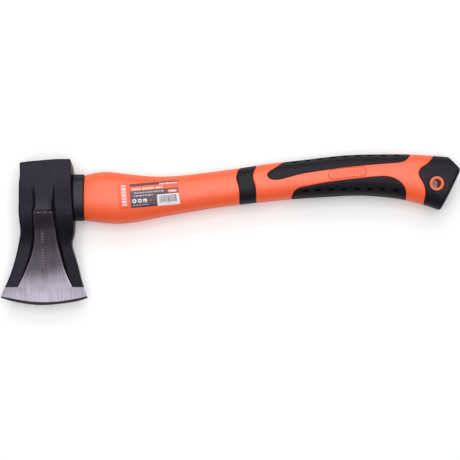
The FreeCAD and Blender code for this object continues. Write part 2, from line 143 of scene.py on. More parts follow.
def surf(x, phi, h=0.0):
    """Point h millimetres off the handle's surface; phi is 0 at the top edge and half pi at the front."""
    x, phi = np.asarray(x, float), np.asarray(phi, float)
    yc, a, b = YC(x), HA(x), HB(x)
    t, s = np.cos(phi), np.sin(phi)
    nx = t * (-YC(x, True) / a - t * HA(x, True) / a) - s * s * HB(x, True) / b
    ny, nz = t / a, s / b
    ln = np.sqrt(nx * nx + ny * ny + nz * nz)
    return np.stack([x + h * nx / ln, yc + a * t + h * ny / ln, MID + b * s + h * nz / ln], -1)


def phi_of(p):
    """Angle of the point of the front surface above plan point p."""
    p = np.asarray(p, float)
    return np.arccos(np.clip((p[:, 1] - YC(p[:, 0])) / HA(p[:, 0]), -1, 1))


def edge_t(p):
    return (p[:, 1] - YC(p[:, 0])) / HA(p[:, 0])


# ------------------------------------------------------------------ outlines
upper_edge = [(56.5, 69.0), (50.3, 64.2), (47.8, 62.4), (44.9, 60.3), (42.0, 58.6), (39.2, 56.9), (36.6, 54.8),
              (35.2, 52.1), (35.9, 50.0), (37.8, 48.3), (41.9, 47.2), (47.6, 47.7), (56.0, 49.9), (64.5, 52.2),
              (75.9, 54.4), (90.0, 56.5), (104.1, 58.6), (118.3, 60.2), (132.5, 61.5), (146.7, 62.7), (158.0, 63.6),
              (162.8, 64.4), (166.7, 66.5), (169.7, 69.5), (171.1, 71.6), (172.8, 75.5)]
lower_edge = [(56.6, 24.0), (58.0, 28.9), (58.7, 31.2), (59.4, 33.4), (60.3, 35.6), (62.1, 37.5), (64.9, 39.2),
              (70.2, 40.6), (78.7, 42.3), (90.0, 44.4), (104.1, 46.4), (118.2, 48.1), (132.3, 49.6), (140.8, 50.3),
              (146.9, 50.4), (152.1, 49.5), (157.3, 47.3), (161.1, 44.5), (164.2, 40.8), (166.0, 36.1),
              (166.4, 31.4), (166.5, 24.0)]
band_left = [(12.8, 62.0), (9.4, 58.4), (7.5, 56.1), (6.4, 52.2), (6.0, 49.3), (6.7, 45.5), (7.9, 41.7), (8.6, 38.0),
             (8.9, 34.2), (8.95, 29.5), (9.0, 23.9), (9.0, 18.0)]
band_right = [(28.6, 65.5), (25.3, 60.6), (23.8, 58.0), (22.1, 54.1), (21.5, 50.4), (22.2, 46.6), (23.5, 42.7),
              (24.3, 38.0), (24.7, 32.3), (24.8, 27.7), (24.8, 25.4), (24.8, 18.0)]
cap_edge = [(194.9, 74.0), (192.8, 70.2), (189.3, 65.6), (186.0, 62.4), (182.4, 60.1), (179.5, 57.4), (178.2, 54.0),
            (178.7, 50.6), (180.4, 47.3), (182.5, 43.6), (183.8, 39.8), (184.5, 35.6), (184.3, 31.1), (183.7, 27.8),
            (183.5, 23.3), (183.4, 12.0)]
butt_end = [(207.9, 90.0), (207.9, 70.6), (208.15, 69.8), (208.9, 68.9), (210.3, 67.2), (216.85, 59.6), (217.45, 58.6),
            (217.65, 57.4), (217.5, 56.3), (217.1, 55.1), (201.75, 23.0), (200.4, 19.9), (199.3, 17.4), (187.0, -10.0)]

NW = 144           # samples round the handle


def pad_loop(edge, around):
    """Closed loop in (x, w) for a pad that wraps the top (around 0) or bottom (around pi) edge."""
    p = curve(edge, 0.25)
    t = edge_t(p)
    keep = np.abs(t) < 1
    lo, hi = np.argmax(keep), len(keep) - 1 - np.argmax(keep[::-1])
    limit = 1.0 if around == 0 else -1.0
    ends = []
    for i, j in ((lo, lo - 1), (hi, hi + 1)):
        f = (limit - t[i]) / (t[j] - t[i])
        ends.append(p[i, 0] + f * (p[j, 0] - p[i, 0]))
    q = p[lo:hi + 1]
    w = phi_of(q) * RW
    front = np.vstack([[ends[0], around * RW], np.stack([q[:, 0], w], 1), [ends[1], around * RW]])
    back = front[::-1][1:-1].copy()
    back[:, 1] = 2 * around * RW - back[:, 1]
    return resample(np.vstack([front, back]), 0.8, True)


def ring_line(edge):
    """x as a function of the angle, for an edge that runs right round the handle."""
    p = curve(edge, 0.2)
    t = edge_t(p)
    keep = np.abs(t) <= 1
    q = p[keep]
    ph = phi_of(q)
    o = np.argsort(ph)
    ph, x = ph[o], q[o, 0]

    def f(phi):
        a = np.mod(np.asarray(phi, float), 2 * PI)
        a = np.where(a > PI, 2 * PI - a, a)
        return np.interp(a, ph, x)
    return f


UPPER = pad_loop(upper_edge, 0.0)
LOWER = pad_loop(lower_edge, PI)
BAND_L, BAND_R, CAP_X = ring_line(band_left), ring_line(band_right), ring_line(cap_edge)


def butt_x():
    e = np.array(butt_end)[::-1]
    ph = np.linspace(0, PI, 361)
    x = np.full(ph.shape, 208.0)
    for _ in range(80):
        y = YC(x) + HA(x) * np.cos(ph)
        x = 0.5 * x + 0.5 * np.interp(y, e[:, 1], e[:, 0])

    def f(phi):
        a = np.mod(np.asarray(phi, float), 2 * PI)
        a = np.where(a > PI, 2 * PI - a, a)
        return np.interp(a, ph, x)
    return f


BUTT_X = butt_x()


# ----------------------------------------------------- planning a triangulation
class Plan:
    """Points and fixed edges in the unrolled plane, with a height for each point."""

    def __init__(self):
        self.p, self.h, self.e = [], [], []

    def line(self, pts, h, closed=False):
        n0 = len(self.p)
        pts = [tuple(map(float, q)) for q in pts]
        hs = [float(v) for v in (h if np.ndim(h) else [h] * len(pts))]
        self.p += pts
        self.h += hs
        m = len(pts)
        self.e += [(n0 + i, n0 + i + 1) for i in range(m - 1)]
        if closed:
            self.e.append((n0 + m - 1, n0))

    def fill(self, pts, h, gap):
        """Free points, left out where they come within gap of a line's point."""
        kd = KDTree(len(self.p))
        for i, q in enumerate(self.p):
            kd.insert((q[0], q[1], 0), i)
        kd.balance()
        for k, q in enumerate(pts):
            if kd.find((q[0], q[1], 0))[2] > gap:
                self.p.append((float(q[0]), float(q[1])))
                self.h.append(float(h[k] if np.ndim(h) else h))

    def solve(self, keep):
        """Triangles whose centre passes keep(x, w); returns x, w, h and triangles."""
        res = delaunay_2d_cdt([Vector(q) for q in self.p], self.e, [], 0, 1e-5)
        verts, faces, orig = res[0], res[2], res[3]
        kd = KDTree(len(self.p))
        for i, q in enumerate(self.p):
            kd.insert((q[0], q[1], 0), i)
        kd.balance()
        P = np.array([(v.x, v.y) for v in verts])
        H = np.array([self.h[o[0]] if o else self.h[kd.find((v.x, v.y, 0))[1]] for v, o in zip(verts, orig)])
        T = np.array([f for f in faces if len(f) == 3])
        c = P[T].mean(1)
        T = T[keep(c[:, 0], c[:, 1])]
        a, b, c3 = P[T[:, 0]], P[T[:, 1]], P[T[:, 2]]
        cr = (b[:, 0] - a[:, 0]) * (c3[:, 1] - a[:, 1]) - (b[:, 1] - a[:, 1]) * (c3[:, 0] - a[:, 0])
        T = T[np.abs(cr) > 1e-7]
        cr = cr[np.abs(cr) > 1e-7]
        T[cr < 0] = T[cr < 0][:, ::-1]
        used = np.unique(T)
        new = -np.ones(len(P), int)
        new[used] = np.arange(len(used))
        return P[used], H[used], new[T]


def weld_seam(P, H, T, w0, w1):
    """Joins the two sides of the cut in an unrolled ring."""
    first = {round(P[i, 0], 3): i for i in np.where(np.abs(P[:, 1] - w0) < 1e-4)[0]}
    to = np.arange(len(P))
    for i in np.where(np.abs(P[:, 1] - w1) < 1e-4)[0]:
        j = first.get(round(P[i, 0], 3))
        if j is None:
            j = min(first.values(), key=lambda k: abs(P[k, 0] - P[i, 0]))
        to[i] = j
    T = to[T]
    T = T[(T[:, 0] != T[:, 1]) & (T[:, 1] != T[:, 2]) & (T[:, 0] != T[:, 2])]
    used = np.unique(T)
    new = -np.ones(len(P), int)
    new[used] = np.arange(len(used))
    return P[used], H[used], new[T]


def rims(T):
    """Boundary edges of a triangle set, chained into loops of vertex numbers."""
    count = {}
    for t in T:
        for a, b in ((t[0], t[1]), (t[1], t[2]), (t[2], t[0])):
            count[(int(a), int(b))] = 1
    nxt = {}
    for (a, b) in count:
        if (b, a) not in count:
            nxt[a] = b
    loops = []
    while nxt:
        start = next(iter(nxt))
        loop = [start]
        cur = nxt.pop(start)
        while cur != start and cur in nxt:
            loop.append(cur)
            cur = nxt.pop(cur)
        loops.append(loop)
    return loops


def make(name, verts, faces, mats, smooth=32.0, mat_index=None):
    me = bpy.data.meshes.new(name)
    me.from_pydata([tuple(np.asarray(v) * MM) for v in verts], [], [list(map(int, f)) for f in faces])
    for m in mats:
        me.materials.append(m)
    if mat_index is not None:
        me.polygons.foreach_set("material_index", np.asarray(mat_index, dtype=np.int32))
    me.validate()
    me.update()
    me.shade_smooth()
    me.set_sharp_from_angle(angle=math.radians(smooth))
    ob = bpy.data.objects.new(name, me)
    bpy.context.scene.collection.objects.link(ob)
    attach(ob, "root")
    return ob


def recalc(ob):
    import bmesh
    bm = bmesh.new()
    bm.from_mesh(ob.data)
    bmesh.ops.recalc_face_normals(bm, faces=bm.faces)
    bm.to_mesh(ob.data)
    bm.free()


def walled(P, H, T, depth):
    """Top sheet, a floor depth below the surface, and the walls between."""
    n = len(P)
    top = surf(P[:, 0], P[:, 1] / RW, H)
    low = surf(P[:, 0], P[:, 1] / RW, np.full(n, -depth))
    faces = [tuple(t[::-1]) for t in T] + [tuple(t + n) for t in T]
    for loop in rims(T):
        for a, b in zip(loop, loop[1:] + loop[:1]):
            faces.append((a, b, b + n, a + n))
    return np.vstack([top, low]), faces


# ------------------------------------------------------------------ materials
def nodes(name):
    m = bpy.data.materials.new(name)
    m.use_nodes = True
    nt = m.node_tree
    return m, nt, nt.nodes["Principled BSDF"]


def add(nt, kind, **kw):
    n = nt.nodes.new(kind)
    for k, v in kw.items():
        if k in n.inputs:
            n.inputs[k].default_value = v
        else:
            setattr(n, k, v)
    return n


def coords(nt, scale=(1, 1, 1)):
    tc = add(nt, "ShaderNodeTexCoord")
    mp = add(nt, "ShaderNodeMapping")
    mp.inputs["Scale"].default_value = scale
    nt.links.new(tc.outputs["Object"], mp.inputs["Vector"])
    return mp.outputs["Vector"]


def noise(nt, vec, scale, detail=3.0, rough=0.5):
    n = add(nt, "ShaderNodeTexNoise", Scale=scale, Detail=detail, Roughness=rough)
    nt.links.new(vec, n.inputs["Vector"])
    return n.outputs["Fac"]


def ramp(nt, fac, stops, mode="LINEAR"):
    r = add(nt, "ShaderNodeValToRGB")
    r.color_ramp.interpolation = mode
    el = r.color_ramp.elements
    while len(el) < len(stops):
        el.new(0.5)
    for e, (pos, col) in zip(el, stops):
        e.position = pos
        e.color = col if len(col) == 4 else (*col, 1)
    nt.links.new(fac, r.inputs["Fac"])
    return r.outputs["Color"]


def maprange(nt, v, a, b, c, d):
    n = add(nt, "ShaderNodeMapRange")
    n.inputs["From Min"].default_value = a
    n.inputs["From Max"].default_value = b
    n.inputs["To Min"].default_value = c
    n.inputs["To Max"].default_value = d
    nt.links.new(v, n.inputs["Value"])
    return n.outputs["Result"]


def bump(nt, height, strength, distance, previous=None):
    b = add(nt, "ShaderNodeBump", Strength=strength, Distance=distance)
    nt.links.new(height, b.inputs["Height"])
    if previous is not None:
        nt.links.new(previous, b.inputs["Normal"])
    return b.outputs["Normal"]


def lin(r, g, b):
    def f(c):
        c /= 255.0
        return c / 12.92 if c <= 0.04045 else ((c + 0.055) / 1.055) ** 2.4
    return (f(r), f(g), f(b))


def mix_rgb(nt, fac, a, b, mode="MIX"):
    n = add(nt, "ShaderNodeMix", data_type="RGBA", blend_type=mode)
    for sock, v in ((n.inputs[0], fac), (n.inputs[6], a), (n.inputs[7], b)):
        if isinstance(v, bpy.types.NodeSocket):
            nt.links.new(v, sock)
        elif isinstance(v, tuple):
            sock.default_value = (*v, 1) if len(v) == 3 else v
        else:
            sock.default_value = v
    return n.outputs[2]


def grazing(nt, lo, hi):
    """0 facing the eye, 1 at the outline."""
    lw = add(nt, "ShaderNodeLayerWeight", Blend=0.5)
    n = add(nt, "ShaderNodeMapRange", interpolation_type="SMOOTHSTEP")
    n.inputs["From Min"].default_value = lo
    n.inputs["From Max"].default_value = hi
    nt.links.new(lw.outputs["Facing"], n.inputs["Value"])
    return n.outputs["Result"]


def facing_down(nt):
    """1 where the surface looks towards the cutting edge's side."""
    g = add(nt, "ShaderNodeNewGeometry")
    sep = add(nt, "ShaderNodeSeparateXYZ")
    nt.links.new(g.outputs["Normal"], sep.inputs[0])
    return maprange(nt, sep.outputs["Y"], -0.25, -0.75, 0.0, 1.0)


def times(nt, a, b):
    n = add(nt, "ShaderNodeMath", operation="MULTIPLY")
    for sock, v in ((n.inputs[0], a), (n.inputs[1], b)):
        if isinstance(v, bpy.types.NodeSocket):
            nt.links.new(v, sock)
        else:
            sock.default_value = v
    return n.outputs[0]


def plastic_orange(name="orange_polymer", c0=(0.94, 0.098, 0.014), c1=(0.98, 0.112, 0.018), gloss=0.92):
    m, nt, b = nodes(name)
    v = coords(nt)
    big = noise(nt, v, 22.0, 2.0)
    col = ramp(nt, big, [(0.3, c0), (0.7, c1)])
    edge = grazing(nt, 0.52, 0.80)
    nt.links.new(col, b.inputs["Base Color"])
    fine = noise(nt, v, 2600.0, 2.0)
    mid = noise(nt, v, 420.0, 3.0)
    nt.links.new(maprange(nt, mid, 0.3, 0.7, 0.42, 0.50), b.inputs["Roughness"])
    n1 = bump(nt, mid, 0.06, 0.0004)
    nt.links.new(bump(nt, fine, 0.10, 0.00012, n1), b.inputs["Normal"])
    nt.links.new(maprange(nt, edge, 0.0, 1.0, gloss, 0.02), b.inputs["Specular IOR Level"])
    return m


def rubber(name="soft_rubber", tint=(0.0072, 0.0060, 0.0078), tint2=(0.0088, 0.0074, 0.0098), spec=0.235, rough=0.46,
           fade=(0.50, 0.76)):
    m, nt, b = nodes(name)
    v = coords(nt)
    big = noise(nt, v, 30.0, 3.0)
    col = ramp(nt, big, [(0.3, tint), (0.7, tint2)])
    edge = grazing(nt, *fade)
    nt.links.new(col, b.inputs["Base Color"])
    mid = noise(nt, v, 500.0, 2.0)
    vor = add(nt, "ShaderNodeTexVoronoi", Scale=1500.0)
    nt.links.new(v, vor.inputs["Vector"])
    nt.links.new(maprange(nt, mid, 0.3, 0.7, rough - 0.05, rough + 0.06), b.inputs["Roughness"])
    n1 = bump(nt, mid, 0.10, 0.0004)
    nt.links.new(bump(nt, vor.outputs["Distance"], 0.12, 0.0002, n1), b.inputs["Normal"])
    nt.links.new(maprange(nt, edge, 0.0, 1.0, spec, spec * 0.10), b.inputs["Specular IOR Level"])
    b.inputs["Specular Tint"].default_value = (0.88, 0.79, 1.0, 1)
    return m


def powder_coat():
    m, nt, b = nodes("black_powder_coat")
    v = coords(nt)
    big = noise(nt, v, 420.0, 3.0, 0.7)
    col = ramp(nt, big, [(0.32, (0.0016, 0.0014, 0.0020)), (0.5, (0.0040, 0.0036, 0.0052)), (0.68, (0.0095, 0.0086, 0.0120))])
    # small bright nicks where the coat has been knocked
    speck = noise(nt, v, 620.0, 2.0, 0.6)
    patch = noise(nt, v, 60.0, 2.0)
    s1 = ramp(nt, speck, [(0.70, (0, 0, 0)), (0.76, (1, 1, 1))])
    s2 = ramp(nt, patch, [(0.48, (0, 0, 0)), (0.60, (1, 1, 1))])
    spot = mix_rgb(nt, 1.0, s1, s2, "MULTIPLY")
    edge = grazing(nt, 0.62, 0.86)
    # the front of the rib is lighter just above the ledge
    sep = add(nt, "ShaderNodeSeparateXYZ")
    nt.links.new(v, sep.inputs[0])
    rib_front_lighter = times(nt, maprange(nt, sep.outputs["Y"], 0.0300, 0.0205, 0.0, 1.0),
                 times(nt, maprange(nt, sep.outputs["X"], -0.1850, -0.1820, 0.0, 1.0),
                       maprange(nt, sep.outputs["X"], -0.1690, -0.1720, 0.0, 1.0)))
    rib_front_lighter = times(nt, rib_front_lighter, maprange(nt, sep.outputs["Z"], 0.0345, 0.0355, 0.0, 1.0))
    col = mix_rgb(nt, rib_front_lighter, col, (0.026, 0.024, 0.028))
    nt.links.new(mix_rgb(nt, spot, col, (0.22, 0.21, 0.24)), b.inputs["Base Color"])
    peel = noise(nt, v, 900.0, 3.0, 0.55)
    mid = noise(nt, v, 240.0, 3.0)
    nt.links.new(maprange(nt, peel, 0.3, 0.7, 0.31, 0.42), b.inputs["Roughness"])
    n1 = bump(nt, mid, 0.10, 0.0006)
    nt.links.new(bump(nt, peel, 0.42, 0.00030, n1), b.inputs["Normal"])
    # the forged flanks are duller than the machined cheeks, most of all on the handle's side
    low = maprange(nt, sep.outputs["Y"], 0.024, 0.013, 0.0, 1.0)
    dull = maprange(nt, sep.outputs["X"], -0.200, -0.170, 0.92, 0.62)
    keep = add(nt, "ShaderNodeMath", operation="MULTIPLY_ADD")
    nt.links.new(low, keep.inputs[0])
    nt.links.new(maprange(nt, dull, 0.0, 1.0, -1.0, 0.0), keep.inputs[1])
    keep.inputs[2].default_value = 1.0
    gloss = maprange(nt, edge, 0.0, 1.0, 0.225, 0.03)
    nt.links.new(times(nt, gloss, keep.outputs[0]), b.inputs["Specular IOR Level"])
    b.inputs["Specular Tint"].default_value = (0.82, 0.73, 1.0, 1)
    return m


# painted reflection: how light the ground faces look along the head, from the ledge to the edge
STEEL_PAINTED_REFLECTION = [(-71.0, 0.88), (-65.0, 0.86), (-59.0, 0.765), (-53.4, 0.615), (-47.7, 0.485), (-44.5, 0.37),
              (-41.0, 0.225), (-37.5, 0.137), (-33.0, 0.105), (-25.0, 0.098), (-19.0, 0.070), (-13.5, 0.048), (-7.8, 0.045),
              (-2.1, 0.042), (1.5, 0.022), (9.3, 0.015), (18.0, 0.024)]


def ground_steel(name="ground_steel", gain=1.0):
    m, nt, b = nodes(name)
    v = coords(nt)
    lines = noise(nt, coords(nt, (1.0, 0.04, 0.25)), 1500.0, 4.0, 0.65)
    broad = noise(nt, coords(nt, (1.0, 0.10, 0.25)), 160.0, 3.0)
    cloud = noise(nt, v, 55.0, 3.0)
    sep = add(nt, "ShaderNodeSeparateXYZ")
    nt.links.new(v, sep.inputs[0])
    y = maprange(nt, sep.outputs["Y"], -0.072, 0.019, 0.0, 1.0)
    wob = add(nt, "ShaderNodeMath", operation="MULTIPLY_ADD")
    nt.links.new(broad, wob.inputs[0])
    wob.inputs[1].default_value = 0.070
    # the painted reflection's light zone reaches further up on the handle's side
    tilt = add(nt, "ShaderNodeMath", operation="ADD")
    nt.links.new(maprange(nt, sep.outputs["X"], -0.197, -0.178, 0.0165, 0.0), tilt.inputs[0])
    nt.links.new(maprange(nt, sep.outputs["X"], -0.176, -0.157, 0.0, -0.043), tilt.inputs[1])
    both = add(nt, "ShaderNodeMath", operation="ADD")
    nt.links.new(y, both.inputs[0])
    nt.links.new(tilt.outputs[0], both.inputs[1])
    nt.links.new(both.outputs[0], wob.inputs[2])
    # the ramp paints the reflection's brightness along the head into the steel's colour
    stops = []
    for p, v_ in STEEL_PAINTED_REFLECTION:
        t = min(1.0, max(0.0, (v_ - 0.09) / 0.4))
        g, bl = 0.83 + 0.10 * t, 1.05 + 0.06 * t
        stops.append(((p + 72.0) / 91.0 + 0.035, (min(0.93, v_ * gain), min(0.87, v_ * g * gain), min(0.98, v_ * bl * gain))))
    col = ramp(nt, wob.outputs[0], stops)
    tone = mix_rgb(nt, 0.40, col, ramp(nt, lines, [(0.3, (0.55, 0.54, 0.56)), (0.7, (1.0, 1.0, 1.0))]), "MULTIPLY")
    streak = noise(nt, coords(nt, (1.0, 0.03, 0.2)), 620.0, 2.0, 0.5)
    tone = mix_rgb(nt, 0.55, tone, ramp(nt, streak, [(0.34, (0.62, 0.61, 0.63)), (0.56, (1.0, 1.0, 1.0))]), "MULTIPLY")
    tone = mix_rgb(nt, 0.22, tone, ramp(nt, cloud, [(0.35, (0.65, 0.62, 0.64)), (0.65, (1.0, 1.0, 1.0))]), "MULTIPLY")
    # ragged chips just under the ledge where coat and ground face meet
    chip = noise(nt, v, 900.0, 2.0, 0.6)
    c1 = ramp(nt, chip, [(0.56, (0, 0, 0)), (0.63, (1, 1, 1))])
    band = ramp(nt, y, [(0.955, (0, 0, 0)), (0.968, (1, 1, 1)), (0.984, (1, 1, 1)), (0.992, (0, 0, 0))])
    chips = mix_rgb(nt, 1.0, c1, band, "MULTIPLY")
    tone = mix_rgb(nt, chips, tone, (0.24, 0.22, 0.25))
    # two rows of plain etched ticks up the rib
    turn = add(nt, "ShaderNodeMath", operation="FRACT")
    nt.links.new(times(nt, sep.outputs["Y"], 1000.0 / 2.55), turn.inputs[0])
    tick = times(nt, maprange(nt, turn.outputs[0], 0.22, 0.34, 0.0, 1.0), maprange(nt, turn.outputs[0], 0.74, 0.86, 1.0, 0.0))
    rows = add(nt, "ShaderNodeMath", operation="MAXIMUM")
    for k, (lo, hi) in enumerate(((-0.0132, -0.0016), (-0.0350, -0.0178))):
        nt.links.new(times(nt, maprange(nt, sep.outputs["Y"], lo - 0.0001, lo, 0.0, 1.0),
                           maprange(nt, sep.outputs["Y"], hi, hi + 0.0001, 1.0, 0.0)), rows.inputs[k])
    wide = times(nt, maprange(nt, sep.outputs["X"], -0.1783, -0.1778, 0.0, 1.0),
                 maprange(nt, sep.outputs["X"], -0.1758, -0.1753, 1.0, 0.0))
    front = maprange(nt, sep.outputs["Z"], 0.0215, 0.0220, 0.0, 0.42)
    mark = times(nt, times(nt, tick, rows.outputs[0]), times(nt, wide, front))
    tone = mix_rgb(nt, mark, tone, (0.20, 0.145, 0.150))
    nt.links.new(tone, b.inputs["Base Color"])
    b.inputs["Metallic"].default_value = 0.45
    nt.links.new(maprange(nt, lines, 0.3, 0.7, 0.36, 0.50), b.inputs["Roughness"])
    nt.links.new(bump(nt, lines, 0.25, 0.00012), b.inputs["Normal"])
    b.inputs["Specular IOR Level"].default_value = 0.08
    return m


def honed_steel():
    m, nt, b = nodes("honed_edge")
    lines = noise(nt, coords(nt, (0.15, 1.0, 0.25)), 1600.0, 3.0)
    nt.links.new(ramp(nt, lines, [(0.3, (0.036, 0.033, 0.038)), (0.7, (0.060, 0.055, 0.062))]), b.inputs["Base Color"])
    b.inputs["Metallic"].default_value = 0.6
    nt.links.new(maprange(nt, lines, 0.3, 0.7, 0.34, 0.46), b.inputs["Roughness"])
    nt.links.new(bump(nt, lines, 0.2, 0.0001), b.inputs["Normal"])
    b.inputs["Specular IOR Level"].default_value = 0.2
    return m


def print_ink(name, rgb, rough=0.34):
    m, nt, b = nodes(name)
    v = coords(nt)
    n = noise(nt, v, 900.0, 2.0)
    c = lin(*rgb)
    d = tuple(x * 0.9 for x in c)
    nt.links.new(ramp(nt, n, [(0.3, d), (0.7, c)]), b.inputs["Base Color"])
    nt.links.new(maprange(nt, n, 0.3, 0.7, rough - 0.04, rough + 0.05), b.inputs["Roughness"])
    nt.links.new(bump(nt, n, 0.05, 0.0001), b.inputs["Normal"])
    return m


def fibreglass():
    m, nt, b = nodes("pultruded_glass_fibre")
    s = noise(nt, coords(nt, (0.06, 1.0, 1.0)), 1400.0, 3.0)
    nt.links.new(ramp(nt, s, [(0.3, lin(176, 160, 112)), (0.7, lin(208, 196, 152))]), b.inputs["Base Color"])
    nt.links.new(maprange(nt, s, 0.3, 0.7, 0.4, 0.6), b.inputs["Roughness"])
    nt.links.new(bump(nt, s, 0.3, 0.0002), b.inputs["Normal"])
    return m


def resin():
    m, nt, b = nodes("cast_resin")
    s = noise(nt, coords(nt), 180.0, 4.0)
    nt.links.new(ramp(nt, s, [(0.3, lin(26, 26, 28)), (0.75, lin(44, 43, 46))]), b.inputs["Base Color"])
    nt.links.new(maprange(nt, s, 0.3, 0.7, 0.22, 0.38), b.inputs["Roughness"])
    nt.links.new(bump(nt, s, 0.4, 0.0006), b.inputs["Normal"])
    return m


ORANGE = plastic_orange()
RING = plastic_orange("orange_ring", (0.62, 0.104, 0.018), (0.67, 0.116, 0.023), 0.80)
# darker orange for the hang hole's bore wall: painted shade down the hole
BORE_PAINTED_SHADE = plastic_orange("orange_bore_painted_shade", (0.76, 0.050, 0.006), (0.82, 0.060, 0.008), 0.10)
RUBBER = rubber()
COLLAR = rubber("collar_rubber", (0.0060, 0.0050, 0.0066), (0.0074, 0.0062, 0.0082), 0.385, 0.40, (0.36, 0.62))
COAT = powder_coat()
GROUND = ground_steel()
HONED = honed_steel()
# brighter copy of the ground steel for the rib's rounded long edges: a painted highlight
RIB_EDGE_HIGHLIGHT = ground_steel("rib_edge_painted_highlight", 1.7)
# darker orange for the groove round the capsule emblem: painted shade in the recess
GROOVE_PAINTED_SHADE = print_ink("groove_shade", (222, 82, 44), 0.5)
# darker rubber for the slots' floors and walls: painted shade in the recesses
SLOT_PAINTED_SHADE = rubber("rubber_slot_painted_shade", (0.0020, 0.0017, 0.0020), (0.0030, 0.0026, 0.0031), 0.05, 0.6)


# ---------------------------------------------------------- orange shell parts
def strip_edges(fx, offs, w0):
    """Lines round the handle at signed distances from an edge; positive is towards +X."""
    phi = np.linspace(w0 / RW, w0 / RW + 2 * PI, NW + 1)
    x = fx(phi)
    xp = np.gradient(x, phi * RW)
    xp[0] = xp[-1] = 0.5 * (xp[1] + xp[-2])
    return [np.stack([x + d * np.sqrt(1 + xp * xp), phi * RW], 1) for d in offs]


def ring_plan(left, right, w0, loops=(), extra=None, top=0.0, pitch=2.3):
    """Plan of a ring-shaped sheet.  left and right are (function, [(distance, height), ...]) with the distance
    measured into the sheet; loops are (closed loop, [(distance, height)...], floor height)."""
    pl = Plan()
    seam = []
    for (fx, prof), sign in ((left, 1), (right, -1)):
        for (d, h), ln in zip(prof, strip_edges(fx, [sign * d for d, _ in prof], w0)):
            pl.line(ln, h)
            seam.append((ln[0, 0], h))
    floors = []
    for loop, prof, floor in loops:
        for d, h in prof:
            pl.line(inward(loop, d), h, True)
        floors.append((inward(loop, prof[-1][0]), floor))
    if extra:
        extra(pl)
    w1 = w0 + 2 * PI * RW
    lo = float(min(left[0](np.linspace(0, 6.3, 200)))) - 1
    hi = float(max(right[0](np.linspace(0, 6.3, 200)))) + 1
    xs = np.arange(lo, hi, pitch)
    # the two sides of the cut get the same points
    sx = sorted(seam)
    x0, x1 = sx[0][0], sx[-1][0]
    inner = [x for x in xs if x0 + 1.2 < x < x1 - 1.2 and min(abs(x - s[0]) for s in sx) > 0.9]
    pts = sorted(sx + [(x, top) for x in inner])
    for w in (w0, w1):
        pl.line([(x, w) for x, _ in pts], [h for _, h in pts])
    m = 96
    grid, hs = [], []
    for i, x in enumerate(xs):
        for j in range(m):
            w = w0 + (j + (0.5 if i % 2 else 0.0)) / m * 2 * PI * RW
            if w < w0 + 0.4 or w > w1 - 0.4:
                continue
            if left[0](w / RW) + 0.2 < x < right[0](w / RW) - 0.2:
                grid.append((x, w))
    grid = np.array(grid)
    hs = np.full(len(grid), top)
    for lp, fl in floors:
        hs[inside(grid[:, 0], grid[:, 1], lp)] = fl
    pl.fill(grid, hs, 0.85)

    def keep(x, w):
        return (x > left[0](w / RW) + left[1][0][0] - 1e-4) & (x < right[0](w / RW) - right[1][0][0] + 1e-4)
    P, H, T = pl.solve(keep)
    return weld_seam(P, H, T, w0, w1)


def close_end(V, faces, loop, towards, dx):
    """Closes a ring of vertices with a smaller ring and a centre point."""
    ring = np.array([V[i] for i in loop])
    c = ring.mean(0)
    inner = c + (ring - c) * 0.55
    inner[:, 0] = ring[:, 0] + dx
    n = len(V)
    V = np.vstack([V, inner, [c[0] + dx, c[1], c[2]]])
    m = len(loop)
    for i in range(m):
        j = (i + 1) % m
        faces.append((loop[i], loop[j], n + j, n + i))
        faces.append((n + i, n + j, n + m))
    return V, faces


RIM = [(0.0, -1.6), (0.001, -0.75), (0.10, -0.36), (0.28, -0.12), (0.60, 0.0)]


def shell_part(name, left, right, w0, loops=(), extra=None, shade=()):
    P, H, T = ring_plan(left, right, w0, loops, extra)
    c = P[T].mean(1)
    mi = np.zeros(len(T), int)
    # faces in the shade bands take the darker orange, painted groove shade
    for outer, inner_ in shade:
        mi[inside(c[:, 0], c[:, 1], outer) & ~inside(c[:, 0], c[:, 1], inner_)] = 1
    V = surf(P[:, 0], P[:, 1] / RW, H)
    faces = [tuple(t[::-1]) for t in T]
    ends = sorted(rims(T), key=lambda lp: P[lp, 0].mean())
    V, faces = close_end(V, faces, ends[0], -1, 0.0)
    V, faces = close_end(V, faces, ends[-1], 1, 0.0)
    mi = list(mi) + [0] * (len(faces) - len(mi))
    ob = make(name, V, faces, [ORANGE, GROOVE_PAINTED_SHADE], mat_index=mi)
    recalc(ob)
    return ob


def const(v):
    return lambda phi: np.full(np.shape(phi), float(v))


shell_front = shell_part("shell_neck", (const(-138.15), [(0.0, -1.4), (0.08, -0.75), (0.25, -0.32), (0.5, -0.10), (0.9, 0.0)]),
                         (BAND_L, RIM), -PI / 2 * RW)

# recesses for the two grip pads, and the moulded capsule between them
RECESS = [(-0.60, 0.0), (-0.28, -0.12), (-0.10, -0.36), (0.0, -0.75), (0.02, -1.95)]


def capsule(cx, cy, length, width, angle, n=14):
    """Obround loop in plan."""
    c, s = math.cos(angle), math.sin(angle)
    r, h = width / 2, (length - width) / 2
    pts = []
    for side in (1, -1):
        for k in range(n + 1):
            a = -PI / 2 + PI * k / n
            u, v = side * (h + r * math.cos(a)), side * r * math.sin(a)
            pts.append((cx + u * c - v * s, cy + u * s + v * c))
    return np.array(pts)


def to_plan(p):
    p = np.asarray(p, float)
    return np.stack([p[:, 0], phi_of(p) * RW], 1)


EMBLEM = (110.7, 53.6)
EM_ANGLE = math.radians(6.4)


